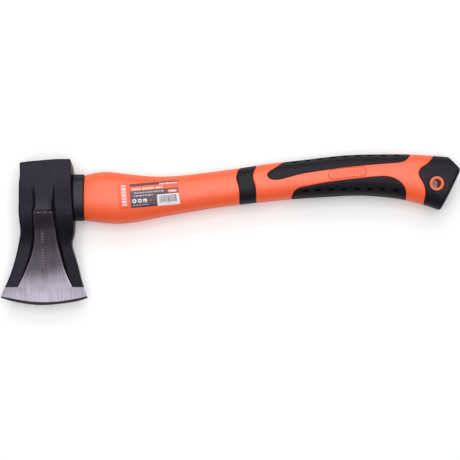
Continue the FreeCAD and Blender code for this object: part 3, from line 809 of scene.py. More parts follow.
def emblem(pl):
    ring = resample(to_plan(capsule(EMBLEM[0], EMBLEM[1], 35.6, 9.2, EM_ANGLE)), 0.8, True)
    for d, h in ((-0.50, 0.0), (-0.22, -0.42), (0.22, -0.42), (0.50, 0.0)):
        pl.line(inward(ring, d), h, True)
    # nine plain raised bars inside it
    for k in range(9):
        u = (k - 4) * 3.15
        cx = EMBLEM[0] + u * math.cos(EM_ANGLE)
        cy = EMBLEM[1] + u * math.sin(EM_ANGLE)
        bar = resample(to_plan(capsule(cx, cy, 4.9, 1.4, EM_ANGLE + PI / 2 - 0.25, 6)), 0.6, True)
        for d, h in ((0.0, 0.0), (0.16, 0.26), (0.34, 0.34)):
            pl.line(inward(bar, d), h, True)


EM_RING = resample(to_plan(capsule(EMBLEM[0], EMBLEM[1], 35.6, 9.2, EM_ANGLE)), 0.8, True)
shell_rear = shell_part("shell_grip", (BAND_R, RIM), (CAP_X, RIM), -PI / 2 * RW,
                        loops=[(UPPER, RECESS, -1.95), (LOWER, RECESS, -1.95)], extra=emblem,
                        shade=[(inward(EM_RING, -0.36), inward(EM_RING, 0.36))])
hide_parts("handle_shell")
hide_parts("handle_shell")

# ------------------------------------------------------------- rubber pieces
TOP = 0.10
SKIN_RIM = [(0.10, -0.85), (0.16, -0.50), (0.32, -0.20), (0.60, -0.02), (1.05, TOP)]


def band_piece():
    P, H, T = ring_plan((BAND_L, SKIN_RIM), (BAND_R, SKIN_RIM), -PI / 2 * RW, top=TOP)
    V, F = walled(P, H, T, 1.75)
    ob = make("grip_ring", V, F, [RUBBER])
    recalc(ob)
    return ob


grip_ring = band_piece()
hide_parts("grip_band")


def slot_loop(x, w, lx, lw, angle=0.0):
    p = capsule(0, 0, lx, lw, 0.0, 5)
    c, s = math.cos(angle), math.sin(angle)
    q = np.stack([x + p[:, 0] * c - p[:, 1] * s, w + p[:, 0] * s + p[:, 1] * c], 1)
    return resample(q, 0.5, True)


def pad_piece(name, loop, slots):
    pl = Plan()
    for d, h in SKIN_RIM:
        pl.line(inward(loop, d), h, True)
    floors = []
    for sl in slots:
        for d, h in ((-0.30, TOP), (-0.08, TOP - 0.06), (0.0, TOP - 0.3), (0.10, TOP - 1.0)):
            pl.line(inward(sl, d), h, True)
        floors.append(inward(sl, 0.10))
    x0, w0 = loop.min(0)
    x1, w1 = loop.max(0)
    grid = []
    dw = 2 * PI * RW / 96
    for i, x in enumerate(np.arange(x0, x1, 2.1)):
        for w in np.arange(w0 + (dw / 2 if i % 2 else 0), w1, dw):
            grid.append((x, w))
    grid = np.array(grid)
    grid = grid[inside(grid[:, 0], grid[:, 1], inward(loop, 1.3))]
    hs = np.full(len(grid), TOP)
    for fl in floors:
        hs[inside(grid[:, 0], grid[:, 1], fl)] = TOP - 1.0
    pl.fill(grid, hs, 0.75)
    edge = inward(loop, SKIN_RIM[0][0])
    P, H, T = pl.solve(lambda x, w: inside(x, w, edge))
    c = P[T].mean(1)
    mi = np.zeros(len(T), int)
    # faces in and round each slot take the darker rubber, painted shade
    for sl in slots:
        mi[inside(c[:, 0], c[:, 1], inward(sl, -0.12))] = 1
    V, F = walled(P, H, T, 1.8)
    ob = make(name, V, F, [RUBBER, SLOT_PAINTED_SHADE], mat_index=list(mi) + [0] * (len(F) - len(T)))
    recalc(ob)
    return ob


upper_slots = []
for x in [61.2, 73.6, 85.4, 97.5, 108.8, 121.1, 132.9, 145.5, 157.6]:
    b = float(HB(x))
    for side in (1, -1):
        upper_slots.append(slot_loop(x, side * math.asin(5.0 / b) * RW, 6.0, 2.2 * RW / b))
lower_slots = []
for x, y, ang in [(71.6, 36.8, 8), (83.5, 37.6, 6), (95.7, 38.0, 3), (107.8, 38.3, 2), (119.9, 38.5, 0),
                  (132.1, 38.5, -1), (144.1, 38.1, -3), (156.8, 37.2, -6)]:
    w = float(phi_of(np.array([(x, y)]))[0]) * RW
    w2 = [float(phi_of(np.array([(x + dx, y + dx * math.tan(math.radians(ang)))]))[0]) * RW for dx in (-2, 2)]
    tilt = math.atan2(w2[1] - w2[0], 4.0)
    lower_slots.append(slot_loop(x, w, 5.6, 2.3, tilt))
    lower_slots.append(slot_loop(x, 2 * PI * RW - w, 5.6, 2.3, -tilt))

upper_pad = pad_piece("grip_pad_upper", UPPER, upper_slots)
lower_pad = pad_piece("grip_pad_lower", LOWER, lower_slots)
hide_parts("upper_grip_pad")
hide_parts("lower_grip_pad")

# ------------------------------------------------------------------ butt cap
EYE = (195.0, 43.7)


def cap_piece():
    w0 = 0.0
    r = 2.6
    end_prof = []
    for d in (0.0, 0.25, 0.7, 1.3, 2.0, 2.8):
        end_prof.append((d, TOP - (r - math.sqrt(max(0.0, r * r - max(0.0, r - d) ** 2)))))
    nh = 56
    ang = np.linspace(0, 2 * PI, nh, endpoint=False)
    pl = Plan()
    seam = []
    for (fx, prof), sign in (((CAP_X, SKIN_RIM), 1), ((BUTT_X, end_prof), -1)):
        for (d, h), ln in zip(prof, strip_edges(fx, [sign * d for d, _ in prof], w0)):
            pl.line(ln, h)
            seam.append((ln[0, 0], h))
    holes = []
    for back in (False, True):
        for rr, h in ((7.20, -0.85), (7.28, -0.42), (7.48, -0.10), (7.90, TOP)):
            q = to_plan(np.stack([EYE[0] + rr * np.cos(ang), EYE[1] + rr * np.sin(ang)], 1))
            if back:
                q[:, 1] = 2 * PI * RW - q[:, 1]
            pl.line(q, h, True)
            if rr == 7.20:
                holes.append(q)
    w1 = w0 + 2 * PI * RW
    sx = sorted(seam)
    xs = np.arange(176.0, 220.0, 2.1)
    inner = [x for x in xs if sx[0][0] + 1.2 < x < sx[-1][0] - 1.2 and min(abs(x - s[0]) for s in sx) > 0.9]
    pts = sorted(sx + [(x, TOP) for x in inner])
    for w in (w0, w1):
        pl.line([(x, w) for x, _ in pts], [h for _, h in pts])
    grid = []
    m = 96
    for i, x in enumerate(xs):
        for j in range(m):
            w = w0 + (j + (0.5 if i % 2 else 0.0)) / m * 2 * PI * RW
            if w0 + 0.4 < w < w1 - 0.4 and CAP_X(w / RW) + 1.4 < x < BUTT_X(w / RW) - 3.3:
                grid.append((x, w))
    grid = np.array(grid)
    pl.fill(grid, TOP, 0.85)

    def keep(x, w):
        ok = (x > CAP_X(w / RW) + SKIN_RIM[0][0] - 1e-4) & (x < BUTT_X(w / RW) + 1e-4)
        for q in holes:
            ok &= ~inside(x, w, q)
        return ok
    P, H, T = pl.solve(keep)
    P, H, T = weld_seam(P, H, T, w0, w1)
    V = surf(P[:, 0], P[:, 1] / RW, H)
    faces = [tuple(t[::-1]) for t in T]
    front_hole = back_hole = left = right = None
    for lp in rims(T):
        q = P[lp]
        if len(lp) <= nh + 4 and np.ptp(q[:, 1]) < 30:
            if q[:, 1].mean() < PI * RW:
                front_hole = lp
            else:
                back_hole = lp
        elif q[:, 0].mean() < 192:
            left = lp
        else:
            right = lp
    V, faces = close_end(V, faces, left, -1, 0.0)

    # hole wall: pair the rings by angle about the hole's axis
    def by_angle(lp):
        a = [math.atan2(V[i][1] - EYE[1], V[i][0] - EYE[0]) % (2 * PI) for i in lp]
        return [i for _, i in sorted(zip(a, lp))]
    fh, bh = by_angle(front_hole), by_angle(back_hole)
    m = min(len(fh), len(bh))
    for k in range(m):
        j = (k + 1) % m
        faces.append((fh[k], fh[j], bh[j], bh[k]))
    # end face: front and back points of the same angle joined straight across
    ph = {}
    for i in right:
        ph[round(float(P[i, 1] / RW) % (2 * PI), 4)] = i
    keys = sorted(k for k in ph if k <= PI + 1e-3)
    rows = []
    M = 6
    base = len(V)
    newv = []
    for k in keys:
        i = ph[k]
        other = round((2 * PI - k) % (2 * PI), 4)
        j = ph.get(other)
        if j is None:
            cand = min(ph, key=lambda q: abs(q - other))
            j = ph[cand]
        if i == j or abs(k) < 1e-3 or abs(k - PI) < 1e-3:
            rows.append([i])
            continue
        row = [i]
        for s in range(1, M):
            f = s / M
            newv.append(V[i] * (1 - f) + V[j] * f)
            row.append(base + len(newv) - 1)
        row.append(j)
        rows.append(row)
    V = np.vstack([V, newv])
    for a, b in zip(rows, rows[1:]):
        if len(a) == 1 and len(b) > 1:
            for s in range(M):
                faces.append((a[0], b[s], b[s + 1]))
        elif len(b) == 1 and len(a) > 1:
            for s in range(M):
                faces.append((b[0], a[s], a[s + 1]))
        elif len(a) > 1:
            for s in range(M):
                faces.append((a[s], a[s + 1], b[s + 1], b[s]))
    ob = make("butt_cover", V, faces, [RUBBER], smooth=40)
    recalc(ob)
    return ob


butt_cover = cap_piece()
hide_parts("butt_cap")


def eyelet_piece():
    """Sleeve with rounded lips, turned about the hole's axis."""
    ro, ri, hl = 7.02, 4.0, 14.2
    prof = []
    for k in range(7):
        a = k / 6 * PI / 2
        prof.append((ro - 0.8 + 0.8 * math.cos(a), hl - 0.8 + 0.8 * math.sin(a)))
    for k in range(1, 7):
        a = k / 6 * PI / 2
        prof.append((ri + 0.6 - 0.6 * math.sin(a), hl - 0.6 + 0.6 * math.cos(a)))
    prof = [(ro, 0.0), (ro, hl * 0.6)] + prof + [(ri, hl * 0.6), (ri, 0.0)]
    prof = prof + [(r, -z) for r, z in prof[::-1]][1:-1]
    n, m = 56, len(prof)
    V, F = [], []
    for i in range(n):
        a = 2 * PI * i / n
        for r, z in prof:
            V.append((EYE[0] + r * math.cos(a), EYE[1] + r * math.sin(a), MID + z))
    for i in range(n):
        for j in range(m):
            F.append((i * m + j, ((i + 1) % n) * m + j, ((i + 1) % n) * m + (j + 1) % m, i * m + (j + 1) % m))
    # faces inside the bore take the darker orange, painted shade
    deep = [1 if max(math.hypot(V[i][0] - EYE[0], V[i][1] - EYE[1]) for i in f) < ri + 0.12 else 0 for f in F]
    ob = make("eyelet_ring", V, F, [RING, BORE_PAINTED_SHADE], mat_index=deep)
    recalc(ob)
    return ob


eyelet = eyelet_piece()
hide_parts("hang_eyelet")


# -------------------------------------------------------------------- collar
def head_face_x(y):
    return np.interp(y, [-1.2, 8.2, 52.7, 66.0], [-147.7, -147.75, -149.75, -150.2])


def collar_piece():
    """Moulded ring with rounded shoulders."""
    n = 160
    prof = [(0.05, 0.0), (0.05, -1.0), (0.35, -0.35), (1.0, -0.05), (1.8, 0.0), (4.2, 0.0), (6.6, 0.0), (8.4, 0.0),
            (9.2, -0.02), (9.6, -0.14), (9.8, -0.40), (9.88, -0.9)]
    outer = []
    V, F = [], []
    m = len(prof) + 2
    for i in range(n):
        a = 2 * PI * i / n
        cy, cz = math.cos(a), math.sin(a)
        e = 2.25
        k = (abs(cy) ** e + abs(cz) ** e) ** (-1 / e)
        yo, zo = 22.15 * cy * k, 14.6 * cz * k
        ln = math.hypot(yo / 22.15 ** 2, zo / 14.6 ** 2)
        ny, nz = yo / 22.15 ** 2 / ln, zo / 14.6 ** 2 / ln
        y0 = 30.45 + yo
        start = float(head_face_x(y0)) + 0.05
        span = -138.25 - start
        ring = []
        for u, h in prof:
            ring.append((start + u / 9.9 * span, 30.45 + yo + ny * h, MID + zo + nz * h))
        for x in (-138.35, start + 0.05):
            ring.append((x, 30.45 + 18.7 * cy, MID + 11.5 * cz))
        V += ring
    for i in range(n):
        for j in range(m):
            F.append((i * m + j, ((i + 1) % n) * m + j, ((i + 1) % n) * m + (j + 1) % m, i * m + (j + 1) % m))
    ob = make("collar_ring", V, F, [COLLAR], smooth=50)
    recalc(ob)
    return ob


collar = collar_piece()
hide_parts("neck_collar")

# ---------------------------------------------------------------------- head
LEFT = [(-199.35, 14.96), (-198.8, 8.3), (-198.25, 2.0), (-198.35, -4.0), (-199.2, -8.8), (-200.0, -12.6),
        (-201.2, -18.3), (-202.35, -23.1), (-204.3, -30.6), (-206.3, -37.0), (-208.25, -42.6), (-210.2, -47.2),
        (-212.0, -51.5), (-214.0, -55.6), (-216.2, -60.2), (-218.1, -65.2), (-219.0, -76.0)]
RIGHT = [(-133.0, -76.0), (-135.2, -64.9), (-137.7, -57.5), (-139.75, -52.0), (-141.6, -45.5), (-143.4, -38.2),
         (-145.75, -29.7), (-148.8, -20.0), (-150.0, -15.2), (-149.85, -11.5), (-148.5, -6.0), (-147.7, -1.2)]
LEFT_TOP = [(-199.35, 14.96), (-199.4, 18.0), (-199.3, 22.0), (-199.1, 27.0), (-198.95, 33.0), (-198.85, 38.0),
            (-198.65, 43.5), (-198.4, 46.0), (-198.1, 48.0), (-197.65, 50.8), (-197.7, 54.9), (-197.85, 58.7),
            (-197.85, 62.0), (-197.6, 62.9), (-197.1, 63.45)]
RIGHT_TOP = [(-147.7, -1.2), (-147.75, 8.2), (-149.75, 52.7), (-149.6, 58.7), (-149.7, 64.9), (-149.95, 65.85),
             (-150.45, 66.4)]
RIB_L = [(-184.3, 46.0), (-183.65, 33.0), (-183.3, 22.6), (-184.7, 17.4), (-184.85, 9.3), (-184.15, -0.2),
         (-184.15, -8.8), (-185.1, -15.4), (-186.5, -21.5), (-188.6, -27.8), (-191.5, -34.8), (-194.4, -41.7),
         (-197.5, -48.0), (-202.2, -57.0)]
RIB_R = [(-165.5, 46.0), (-166.8, 33.0), (-167.9, 22.6), (-167.3, 17.4), (-166.2, 9.3), (-164.7, -0.2),
         (-163.8, -7.8), (-162.55, -14.5), (-160.0, -24.9), (-157.3, -34.8), (-154.35, -43.4), (-151.9, -49.2),
         (-147.8, -57.0)]
BIT = np.array([(-222.0, -61.6, -63.0), (-217.4, -63.2, -64.9), (-207.15, -65.3, -68.0), (-195.75, -67.3, -70.35),
                (-181.7, -68.6, -71.77), (-166.8, -68.4, -71.2), (-155.3, -67.0, -69.8), (-143.7, -64.9, -67.7),
                (-135.7, -63.0, -65.2), (-130.0, -61.3, -63.2)])
inner_y, edge_y = cubic(BIT[:, 0], BIT[:, 1]), cubic(BIT[:, 0], BIT[:, 2] + 0.2)


def along_y(points, smooth=True):
    p = np.array(sorted(points, key=lambda q: q[1]))
    if smooth:
        return cubic(p[:, 1], p[:, 0])
    return lambda y: np.interp(y, p[:, 1], p[:, 0])


lower_l, lower_r = along_y(LEFT), along_y(RIGHT)
upper_l, upper_r = along_y(LEFT_TOP, False), along_y(RIGHT_TOP, False)
rib_l_s, rib_r_s = along_y(RIB_L), along_y(RIB_R)


def side_l(y):
    y = np.asarray(y, float)
    return np.where(y < 14.96, lower_l(np.clip(y, -76, 14.96)), upper_l(y))


def side_r(y):
    y = np.asarray(y, float)
    return np.where(y < -1.2, lower_r(np.clip(y, -76, -1.2)), upper_r(y))


def rib_l(y):
    return rib_l_s(np.clip(y, -57, 46.0))


def rib_r(y):
    return rib_r_s(np.clip(y, -57, 46.0))


FLANK = cubic(*np.array([(-54.4, 4.8), (-37.0, 5.6), (-20.0, 6.6), (-14.0, 7.2), (-9.0, 8.3), (-2.0, 10.25),
                         (5.0, 12.2), (11.0, 13.6), (17.0, 14.5), (24.0, 15.4), (33.0, 16.8), (43.5, 18.5)]).T)
RIBH = np.array([(-54.4, 5.1), (-43.5, 8.05), (-39.0, 9.1), (-34.0, 9.95), (17.6, 17.34), (17.95, 17.45),
                 (18.15, 17.75), (18.45, 18.1), (18.9, 18.22), (43.5, 18.5), (70.0, 18.5)])


def flank(y):
    y = np.asarray(y, float)
    z = np.where(y < 43.5, FLANK(np.clip(y, -54.4, 43.5)), 18.5)
    # the crease where the cheek starts to fall away, a little rounded
    d = np.abs(y - 43.5)
    return z - np.maximum(0, 2.5 - d) ** 2 * 0.035


def ribz(y):
    return np.interp(y, RIBH[:, 0], RIBH[:, 1])


def top_y(x):
    return np.interp(x, [-199.0, -196.9, -193.1, -189.3, -185.6, -181.8, -178.0, -174.3, -170.5, -166.8, -163.0, -150.0],
                     [63.3, 63.5, 63.94, 64.5, 64.76, 65.06, 65.42, 65.72, 66.06, 66.4, 66.58, 66.62])


def smin(a, b, k):
    return np.minimum(a, b) - np.maximum(k - np.abs(a - b), 0) ** 2 / (4 * k)


def spread(y):
    """How far the rib's walls lean out, for each millimetre of height."""
    return 0.5 + 0.45 * np.exp(-((np.asarray(y, float) - 33.0) / 9.0) ** 2)


def spread_r(y):
    """The wall on the handle's side leans out further by the ledge."""
    return spread(y) + 0.50 * np.exp(-((np.asarray(y, float) - 14.0) / 12.0) ** 2)


def half(x, y, row_wall):
    """Half thickness of the head over plan point x, y."""
    f, r = flank(y), ribz(y)
    k = max(0.05, min(1.0, row_wall))
    out = np.maximum((rib_l(y) - x) / float(spread(y)), (x - rib_r(y)) / float(spread_r(y)))
    climb = smin(np.full(np.shape(x), float(r)), r - out, 0.5 * k)
    z = -smin(-climb, np.full(np.shape(x), -float(f)), 0.9 * k)
    # rounded long edges and poll edge
    for d, rad in ((x - side_l(y), 1.0), (side_r(y) - x, 1.0), (top_y(x) - y, 1.7)):
        m = np.clip(rad - d, 0, rad)
        z = z - (rad - np.sqrt(np.maximum(0, rad * rad - m * m)))
    return z


def head_rows():
    """(y or (blend, base), zone) from the poll to the edge."""
    rows = []
    for s in (0, 0.006, 0.025, 0.06, 0.11, 0.17, 0.23, 0.36, 0.56, 0.78):
        rows.append(("top", s))
    ys = [55.0, 52.7, 50.8, 47.6, 46.0, 45.0, 44.2, 43.5, 42.8, 42.0, 41.0, 39.0, 37.0, 35.0, 33.0, 31.0, 29.0, 27.0,
          25.0, 23.0, 21.5, 20.2, 19.3, 18.9, 18.65, 18.45, 18.3, 18.15, 18.05, 17.95, 17.8, 17.6, 17.2, 16.4, 15.0,
          13.0, 11.0, 9.0, 7.0, 5.0, 3.0, 1.0, -1.2, -3.5, -6.0, -8.0, -10.0, -12.0, -14.0, -16.0, -18.5, -21.0,
          -24.0, -27.0, -30.0, -33.0, -35.0, -37.0, -39.0, -41.0, -43.5, -46.0, -48.5, -50.5, -52.5, -53.6, -54.1,
          -54.4]
    rows += [("y", y) for y in ys]
    for s in (0.0, 0.08, 0.3, 0.55, 0.78, 0.92, 1.0):
        rows.append(("bit", s))
    for s in (0.12, 0.55, 1.0):
        rows.append(("hone", s))
    return rows


def head_piece():
    rows = head_rows()
    X, Y, Z = [], [], []
    for kind, s in rows:
        if kind == "top":
            y0 = 57.5 + (66.0 - 57.5) * (1 - s)
        elif kind == "y":
            y0 = s
        elif kind == "bit":
            y0 = -54.4 - s * 13.0
        else:
            y0 = -67.4 - s * 3.0
        if kind in ("top", "y"):
            yl = yr = y0
            if kind == "top":
                # the side outline's corner is lower on the left than on the right
                yl = 57.5 + (float(top_y(-197.1)) - 57.5) * (1 - s)
                yr = 57.5 + (66.6 - 57.5) * (1 - s)
            xl, xr = float(side_l(yl)), float(side_r(yr))
        else:
            # ends of the bit's rows slide down the spline sides
            def meet(fx, target, lo, hi):
                for _ in range(40):
                    mid = 0.5 * (lo + hi)
                    if mid > target(float(fx(mid))):
                        hi = mid
                    else:
                        lo = mid
                return float(fx(lo))
            if kind == "bit":
                tgt = lambda x: -54.4 + s * (float(inner_y(x)) + 54.4)
            else:
                tgt = lambda x: float(inner_y(x)) + s * (float(edge_y(x)) - float(inner_y(x)))
            xl, xr = meet(side_l, tgt, -76, -54.0), meet(side_r, tgt, -76, -54.0)
        yy = max(min(y0, 46.0), -54.4)
        a, b = float(rib_l(yy)), float(rib_r(yy))
        wall = float(max(0.0, ribz(yy) - flank(yy)))
        k = max(0.06, min(1.0, wall))
        outs, outs_r = [[w + 0.75 * k + 0.2, w + 0.35 * k, w + 0.12 * k, w, w - 0.12 * min(k, w), 0.72 * w, 0.45 * w, 0.2 * w]
                        for w in (max(0.12, wall * float(spread(yy))), max(0.12, wall * float(spread_r(yy))))]
        tops = [0.0, -0.10 * k, -0.22 * k, -0.40 * k, -0.8 * k - 0.1]
        la = [a - o for o in outs] + [a - o for o in tops]
        rb = [b + o for o in outs_r + tops][::-1]
        inner = list(np.linspace(la[-1], rb[0], 9)[1:-1])
        eb = [0.0, 0.06, 0.25, 0.6, 1.1]
        lf = [xl + e for e in eb]
        lf += list(np.linspace(lf[-1], la[0], 6)[1:-1])
        rf = [xr - e for e in eb]
        rf = list(np.linspace(rb[-1], rf[-1], 6)[1:-1]) + rf[::-1]
        xs = np.array(lf + la + inner + rb + rf)
        if kind in ("bit", "hone"):
            # the bit keeps the columns of the last row above it
            xs = xl + (X[last] - X[last][0]) / (X[last][-1] - X[last][0]) * (xr - xl)
        else:
            last = len(X)
        if kind == "top":
            yy_ = 57.5 + (top_y(xs) - 57.5) * (1 - s)
            z = np.array([half(np.array([x]), float(y), 0.06)[0] for x, y in zip(xs, yy_)])
            ys_ = yy_
        elif kind == "y":
            ys_ = np.full(xs.shape, y0)
            z = half(xs, y0, wall)
        else:
            iy, ey = inner_y(xs), edge_y(xs)
            if kind == "bit":
                ys_ = -54.4 - 0.12 + s * (iy + 54.52)
                z = 5.066 + s * (0.9 - 5.066) + 0.0 * xs
            else:
                ys_ = iy + s * (ey - iy)
                z = 0.9 + s * (0.15 - 0.9) + 0.0 * xs
            for d in (xs - xl, xr - xs):
                m = np.clip(0.7 - d, 0, 0.7)
                z = z - np.minimum(0.35 * z, 0.7 - np.sqrt(np.maximum(0, 0.49 - m * m)))
        X.append(xs)
        Y.append(ys_)
        Z.append(z)
    X, Y, Z = np.array(X), np.array(Y), np.array(Z)
    nr, nc = X.shape
    front = np.stack([X, Y, MID + Z], -1).reshape(-1, 3)
    u = (X - X[:, :1]) / (X[:, -1:] - X[:, :1])
    pull = 3.3 * np.clip((Y - 54.5) / 12.0, 0, 1) ** 1.6 * np.clip((u - 0.6) / 0.4, 0, 1)
    back = np.stack([X - pull, Y, MID - Z], -1).reshape(-1, 3)
    V = np.vstack([front, back])
    n = nr * nc
    F, M = [], []
    ledge = [i for i, r in enumerate(rows) if r == ("y", 17.95)][0]
    bit0 = [i for i, r in enumerate(rows) if r[0] == "bit"][0]
    hone0 = [i for i, r in enumerate(rows) if r[0] == "hone"][0]
    c0, c1 = 9 + 8, nc - 1 - (9 + 8)
    for i in range(nr - 1):
        for j in range(nc - 1):
            a, b, c, d = i * nc + j, (i + 1) * nc + j, (i + 1) * nc + j + 1, i * nc + j + 1
            F.append((a, b, c, d))
            F.append((a + n, d + n, c + n, b + n))
            if i >= hone0 - 1:
                mt = 2
            # the rib's rounded long edges take the brighter steel, a painted highlight
            elif ledge + 3 <= i < bit0 - 2 and (c0 <= j <= c0 + 3 or c1 - 4 <= j <= c1 - 1):
                mt = 3
            elif i >= bit0 - 1 or (i >= ledge and c0 <= j < c1):
                mt = 1
            else:
                mt = 0
            M += [mt, mt]
    # the band round the outline
    ring = [(0, j) for j in range(nc)] + [(i, nc - 1) for i in range(1, nr)]
    ring += [(nr - 1, j) for j in range(nc - 2, -1, -1)] + [(i, 0) for i in range(nr - 2, 0, -1)]
    for (i, j), (k, l) in zip(ring, ring[1:] + ring[:1]):
        a, b = i * nc + j, k * nc + l
        F.append((a, b, b + n, a + n))
        low = min(i, k)
        M.append(2 if low >= hone0 - 1 else (1 if low >= bit0 else 0))
    ob = make("axe_head_forged", V, F, [COAT, GROUND, HONED, RIB_EDGE_HIGHLIGHT], smooth=38, mat_index=M)
    recalc(ob)
    return ob


def eye_cutter():
    n = 96
    V, F = [], []
    for x in (-140.0, -145.0, -202.0, -207.0):
        f = (x + 145.0) / -57.0
        a, b = 20.0 + 1.5 * f, 10.0 + 1.0 * f
        for i in range(n):
            t = 2 * PI * i / n
            V.append((x, 30.3 + a * math.cos(t), MID + b * math.sin(t)))
    for k in range(3):
        for i in range(n):
            j = (i + 1) % n
            F.append((k * n + i, k * n + j, (k + 1) * n + j, (k + 1) * n + i))
    F.append(tuple(range(n))[::-1])
    F.append(tuple(range(3 * n, 4 * n)))
    me = bpy.data.meshes.new("cutter")
    me.from_pydata([tuple(np.asarray(v) * MM) for v in V], [], F)
    me.materials.append(COAT)
    me.update()
    ob = bpy.data.objects.new("cutter", me)
    bpy.context.scene.collection.objects.link(ob)
    recalc(ob)
    return ob


head = head_piece()
cutter = eye_cutter()
mod = head.modifiers.new("eye", "BOOLEAN")
mod.operation = "DIFFERENCE"
mod.solver = "EXACT"
mod.object = cutter
dg = bpy.context.evaluated_depsgraph_get()
cut_mesh = bpy.data.meshes.new_from_object(head.evaluated_get(dg))
head.modifiers.clear()
old = head.data
head.data = cut_mesh
bpy.data.meshes.remove(old)
cm = cutter.data
bpy.data.objects.remove(cutter)
bpy.data.meshes.remove(cm)
head.data.shade_smooth()
head.data.set_sharp_from_angle(angle=math.radians(38))
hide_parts("axe_head")

# --------------------------------------------------------------- printed films
def film_point(cx, cy):
    """Label drawing units to the plan of the front surface."""
    px, py = 110 + cx / 10.453, 165 + cy / 10.453
    k = 0.95 * 0.992
    return ((px - 230.05) * k, (229.75 - py) * k)


def film_poly(pts, step=0.9):
    q = []
    for a, b in zip(pts, pts[1:] + pts[:1]):
        n = max(1, int(math.hypot(b[0] - a[0], b[1] - a[1]) / 11.0 / step))
        for i in range(n):
            q.append((a[0] + (b[0] - a[0]) * i / n, a[1] + (b[1] - a[1]) * i / n))
    return to_plan(np.array([film_point(*p) for p in q]))


def slanted(x0, y0, x1, h, slope=-0.088):
    """Bar from x0 to x1 whose top left corner is x0, y0, running along the label."""
    dx = h * 0.06
    return [(x0, y0), (x1, y0 + (x1 - x0) * slope), (x1 + dx, y0 + h + (x1 - x0) * slope), (x0 + dx, y0 + h)]


def disc(cx, cy, r, n=18):
    return [(cx + r * math.cos(2 * PI * i / n), cy + r * math.sin(2 * PI * i / n)) for i in range(n)]


def rounded(pts, r, n=4):
    out = []
    m = len(pts)
    for i in range(m):
        p0, p, p1 = np.array(pts[i - 1], float), np.array(pts[i], float), np.array(pts[(i + 1) % m], float)
        a = p + (p0 - p) / np.linalg.norm(p0 - p) * r
        b = p + (p1 - p) / np.linalg.norm(p1 - p) * r
        for k in range(n + 1):
            t = k / n
            out.append(tuple((1 - t) ** 2 * a + 2 * t * (1 - t) * p + t * t * b))
    return out


def film(name, outline, prints, mats, base_mat, top):
    """Thin closed film whose top carries flat printed shapes: (polygon, material number)."""
    pl = Plan()
    edge = film_poly(outline)
    pl.line(edge, top - 0.06, True)
    pl.line(inward(edge, 0.10), top, True)
    shapes = []
    for poly, mt in prints:
        q = film_poly(poly, 1.4)
        pl.line(q, top, True)
        shapes.append((q, mt))
    x0, w0 = edge.min(0)
    x1, w1 = edge.max(0)
    grid = np.array([(x, w) for x in np.arange(x0, x1, 2.0) for w in np.arange(w0, w1, 1.3)])
    grid = grid[inside(grid[:, 0], grid[:, 1], inward(edge, 0.8))]
    pl.fill(grid, top, 0.5)
    P, H, T = pl.solve(lambda x, w: inside(x, w, edge))
    c = P[T].mean(1)
    mi = np.full(len(T), base_mat)
    for q, mt in shapes:
        mi[inside(c[:, 0], c[:, 1], q)] = mt
    V, F = walled(P, H, T, 0.04)
    idx = list(mi) + [base_mat] * (len(F) - len(T))
    ob = make(name, V, F, mats, mat_index=idx)
    recalc(ob)
    return ob


random.seed(4)
INK_CLEAR = print_ink("film_clear", (250, 96, 48), 0.44)
INK_DARK = print_ink("ink_dark", (74, 60, 70), 0.44)
INK_WHITE = print_ink("ink_white", (232, 220, 228), 0.46)
INK_PALE = print_ink("ink_pale", (190, 175, 182), 0.46)
INK_PEACH = print_ink("ink_peach", (250, 150, 118), 0.46)
INK_RED = print_ink("ink_red", (190, 60, 40), 0.46)
INK_EDGE = print_ink("film_edge", (226, 84, 44), 0.40)
INK_TITLE = print_ink("ink_title", (254, 205, 188), 0.46)
INKS = [INK_CLEAR, INK_DARK, INK_WHITE, INK_PALE, INK_PEACH, INK_RED, INK_EDGE, INK_TITLE]

outline = rounded([(76, 208), (709, 157), (736, 406), (98, 463)], 14)
prints = []
# a plain ladder of bars where a name would stand
for k in range(7):
    y = 213 + k * 32.3
    prints.append((slanted(114 + k * 2.6, y, 162 + k * 2.6, 22, -0.04), 2))
    if k % 2 == 0:
        prints.append((slanted(126 + k * 2.6, y + 7, 151 + k * 2.6, 7, -0.04), 0))
prints.append(([(203, 203), (706, 159), (709, 182), (206, 229)], 1))
x = 514
for w in (14, 10, 16, 8, 20, 12, 18, 12, 16, 10):
    prints.append((slanted(x, 187.5 - (x - 514) * 0.088, x + w, 16), 2))
    x += w + 5.5
x = 228
for w in (20, 18, 22, 16, 0, 26, 20, 16, 24, 18, 0, 28, 18, 14):
    if not w:
        x += 12
        continue
    prints.append((slanted(x, 245 - (x - 228) * 0.088, x + w, 24), 7))
    x += w + 5
prints.append(([(208, 277), (711, 233), (714, 288), (491, 310), (499, 430), (222, 450)], 1))
for x0, y0, words in ((232, 298, (4, 0, 30, 12, 16, 26, 14, 30, 22, 18, 28, 14, 32)),
                      (232, 329, (4, 0, 14, 26, 30, 16, 22, 34, 12))):
    x = x0
    for w in words:
        if not w:
            x += 8
            continue
        prints.append((slanted(x, y0 - 8 - (x - x0) * 0.088, x + w, 14), 3))
        x += w + 7
prints.append((rounded(slanted(603, 256, 700, 30), 10), 4))
prints.append((slanted(626, 265, 690, 11), 2))
prints.append((disc(256, 378, 23), 2))
prints.append(([(246, 380), (252, 368), (268, 374), (256, 392)], 1))
prints.append((rounded(slanted(292, 357, 331, 38), 7), 2))
prints.append((slanted(302, 368, 321, 13), 1))
prints.append((rounded(slanted(346, 353, 386, 38), 7), 2))
prints.append((slanted(356, 373, 372, 12), 1))
prints.append((slanted(406, 361, 444, 11), 5))
x = 240
for w in (22, 34, 26, 30, 24):
    prints.append((slanted(x, 420 - (x - 240) * 0.088, x + w, 7), 3))
    x += w + 7
label = film("printed_film", outline, prints, INKS, 0, 0.10)
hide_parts("product_label")

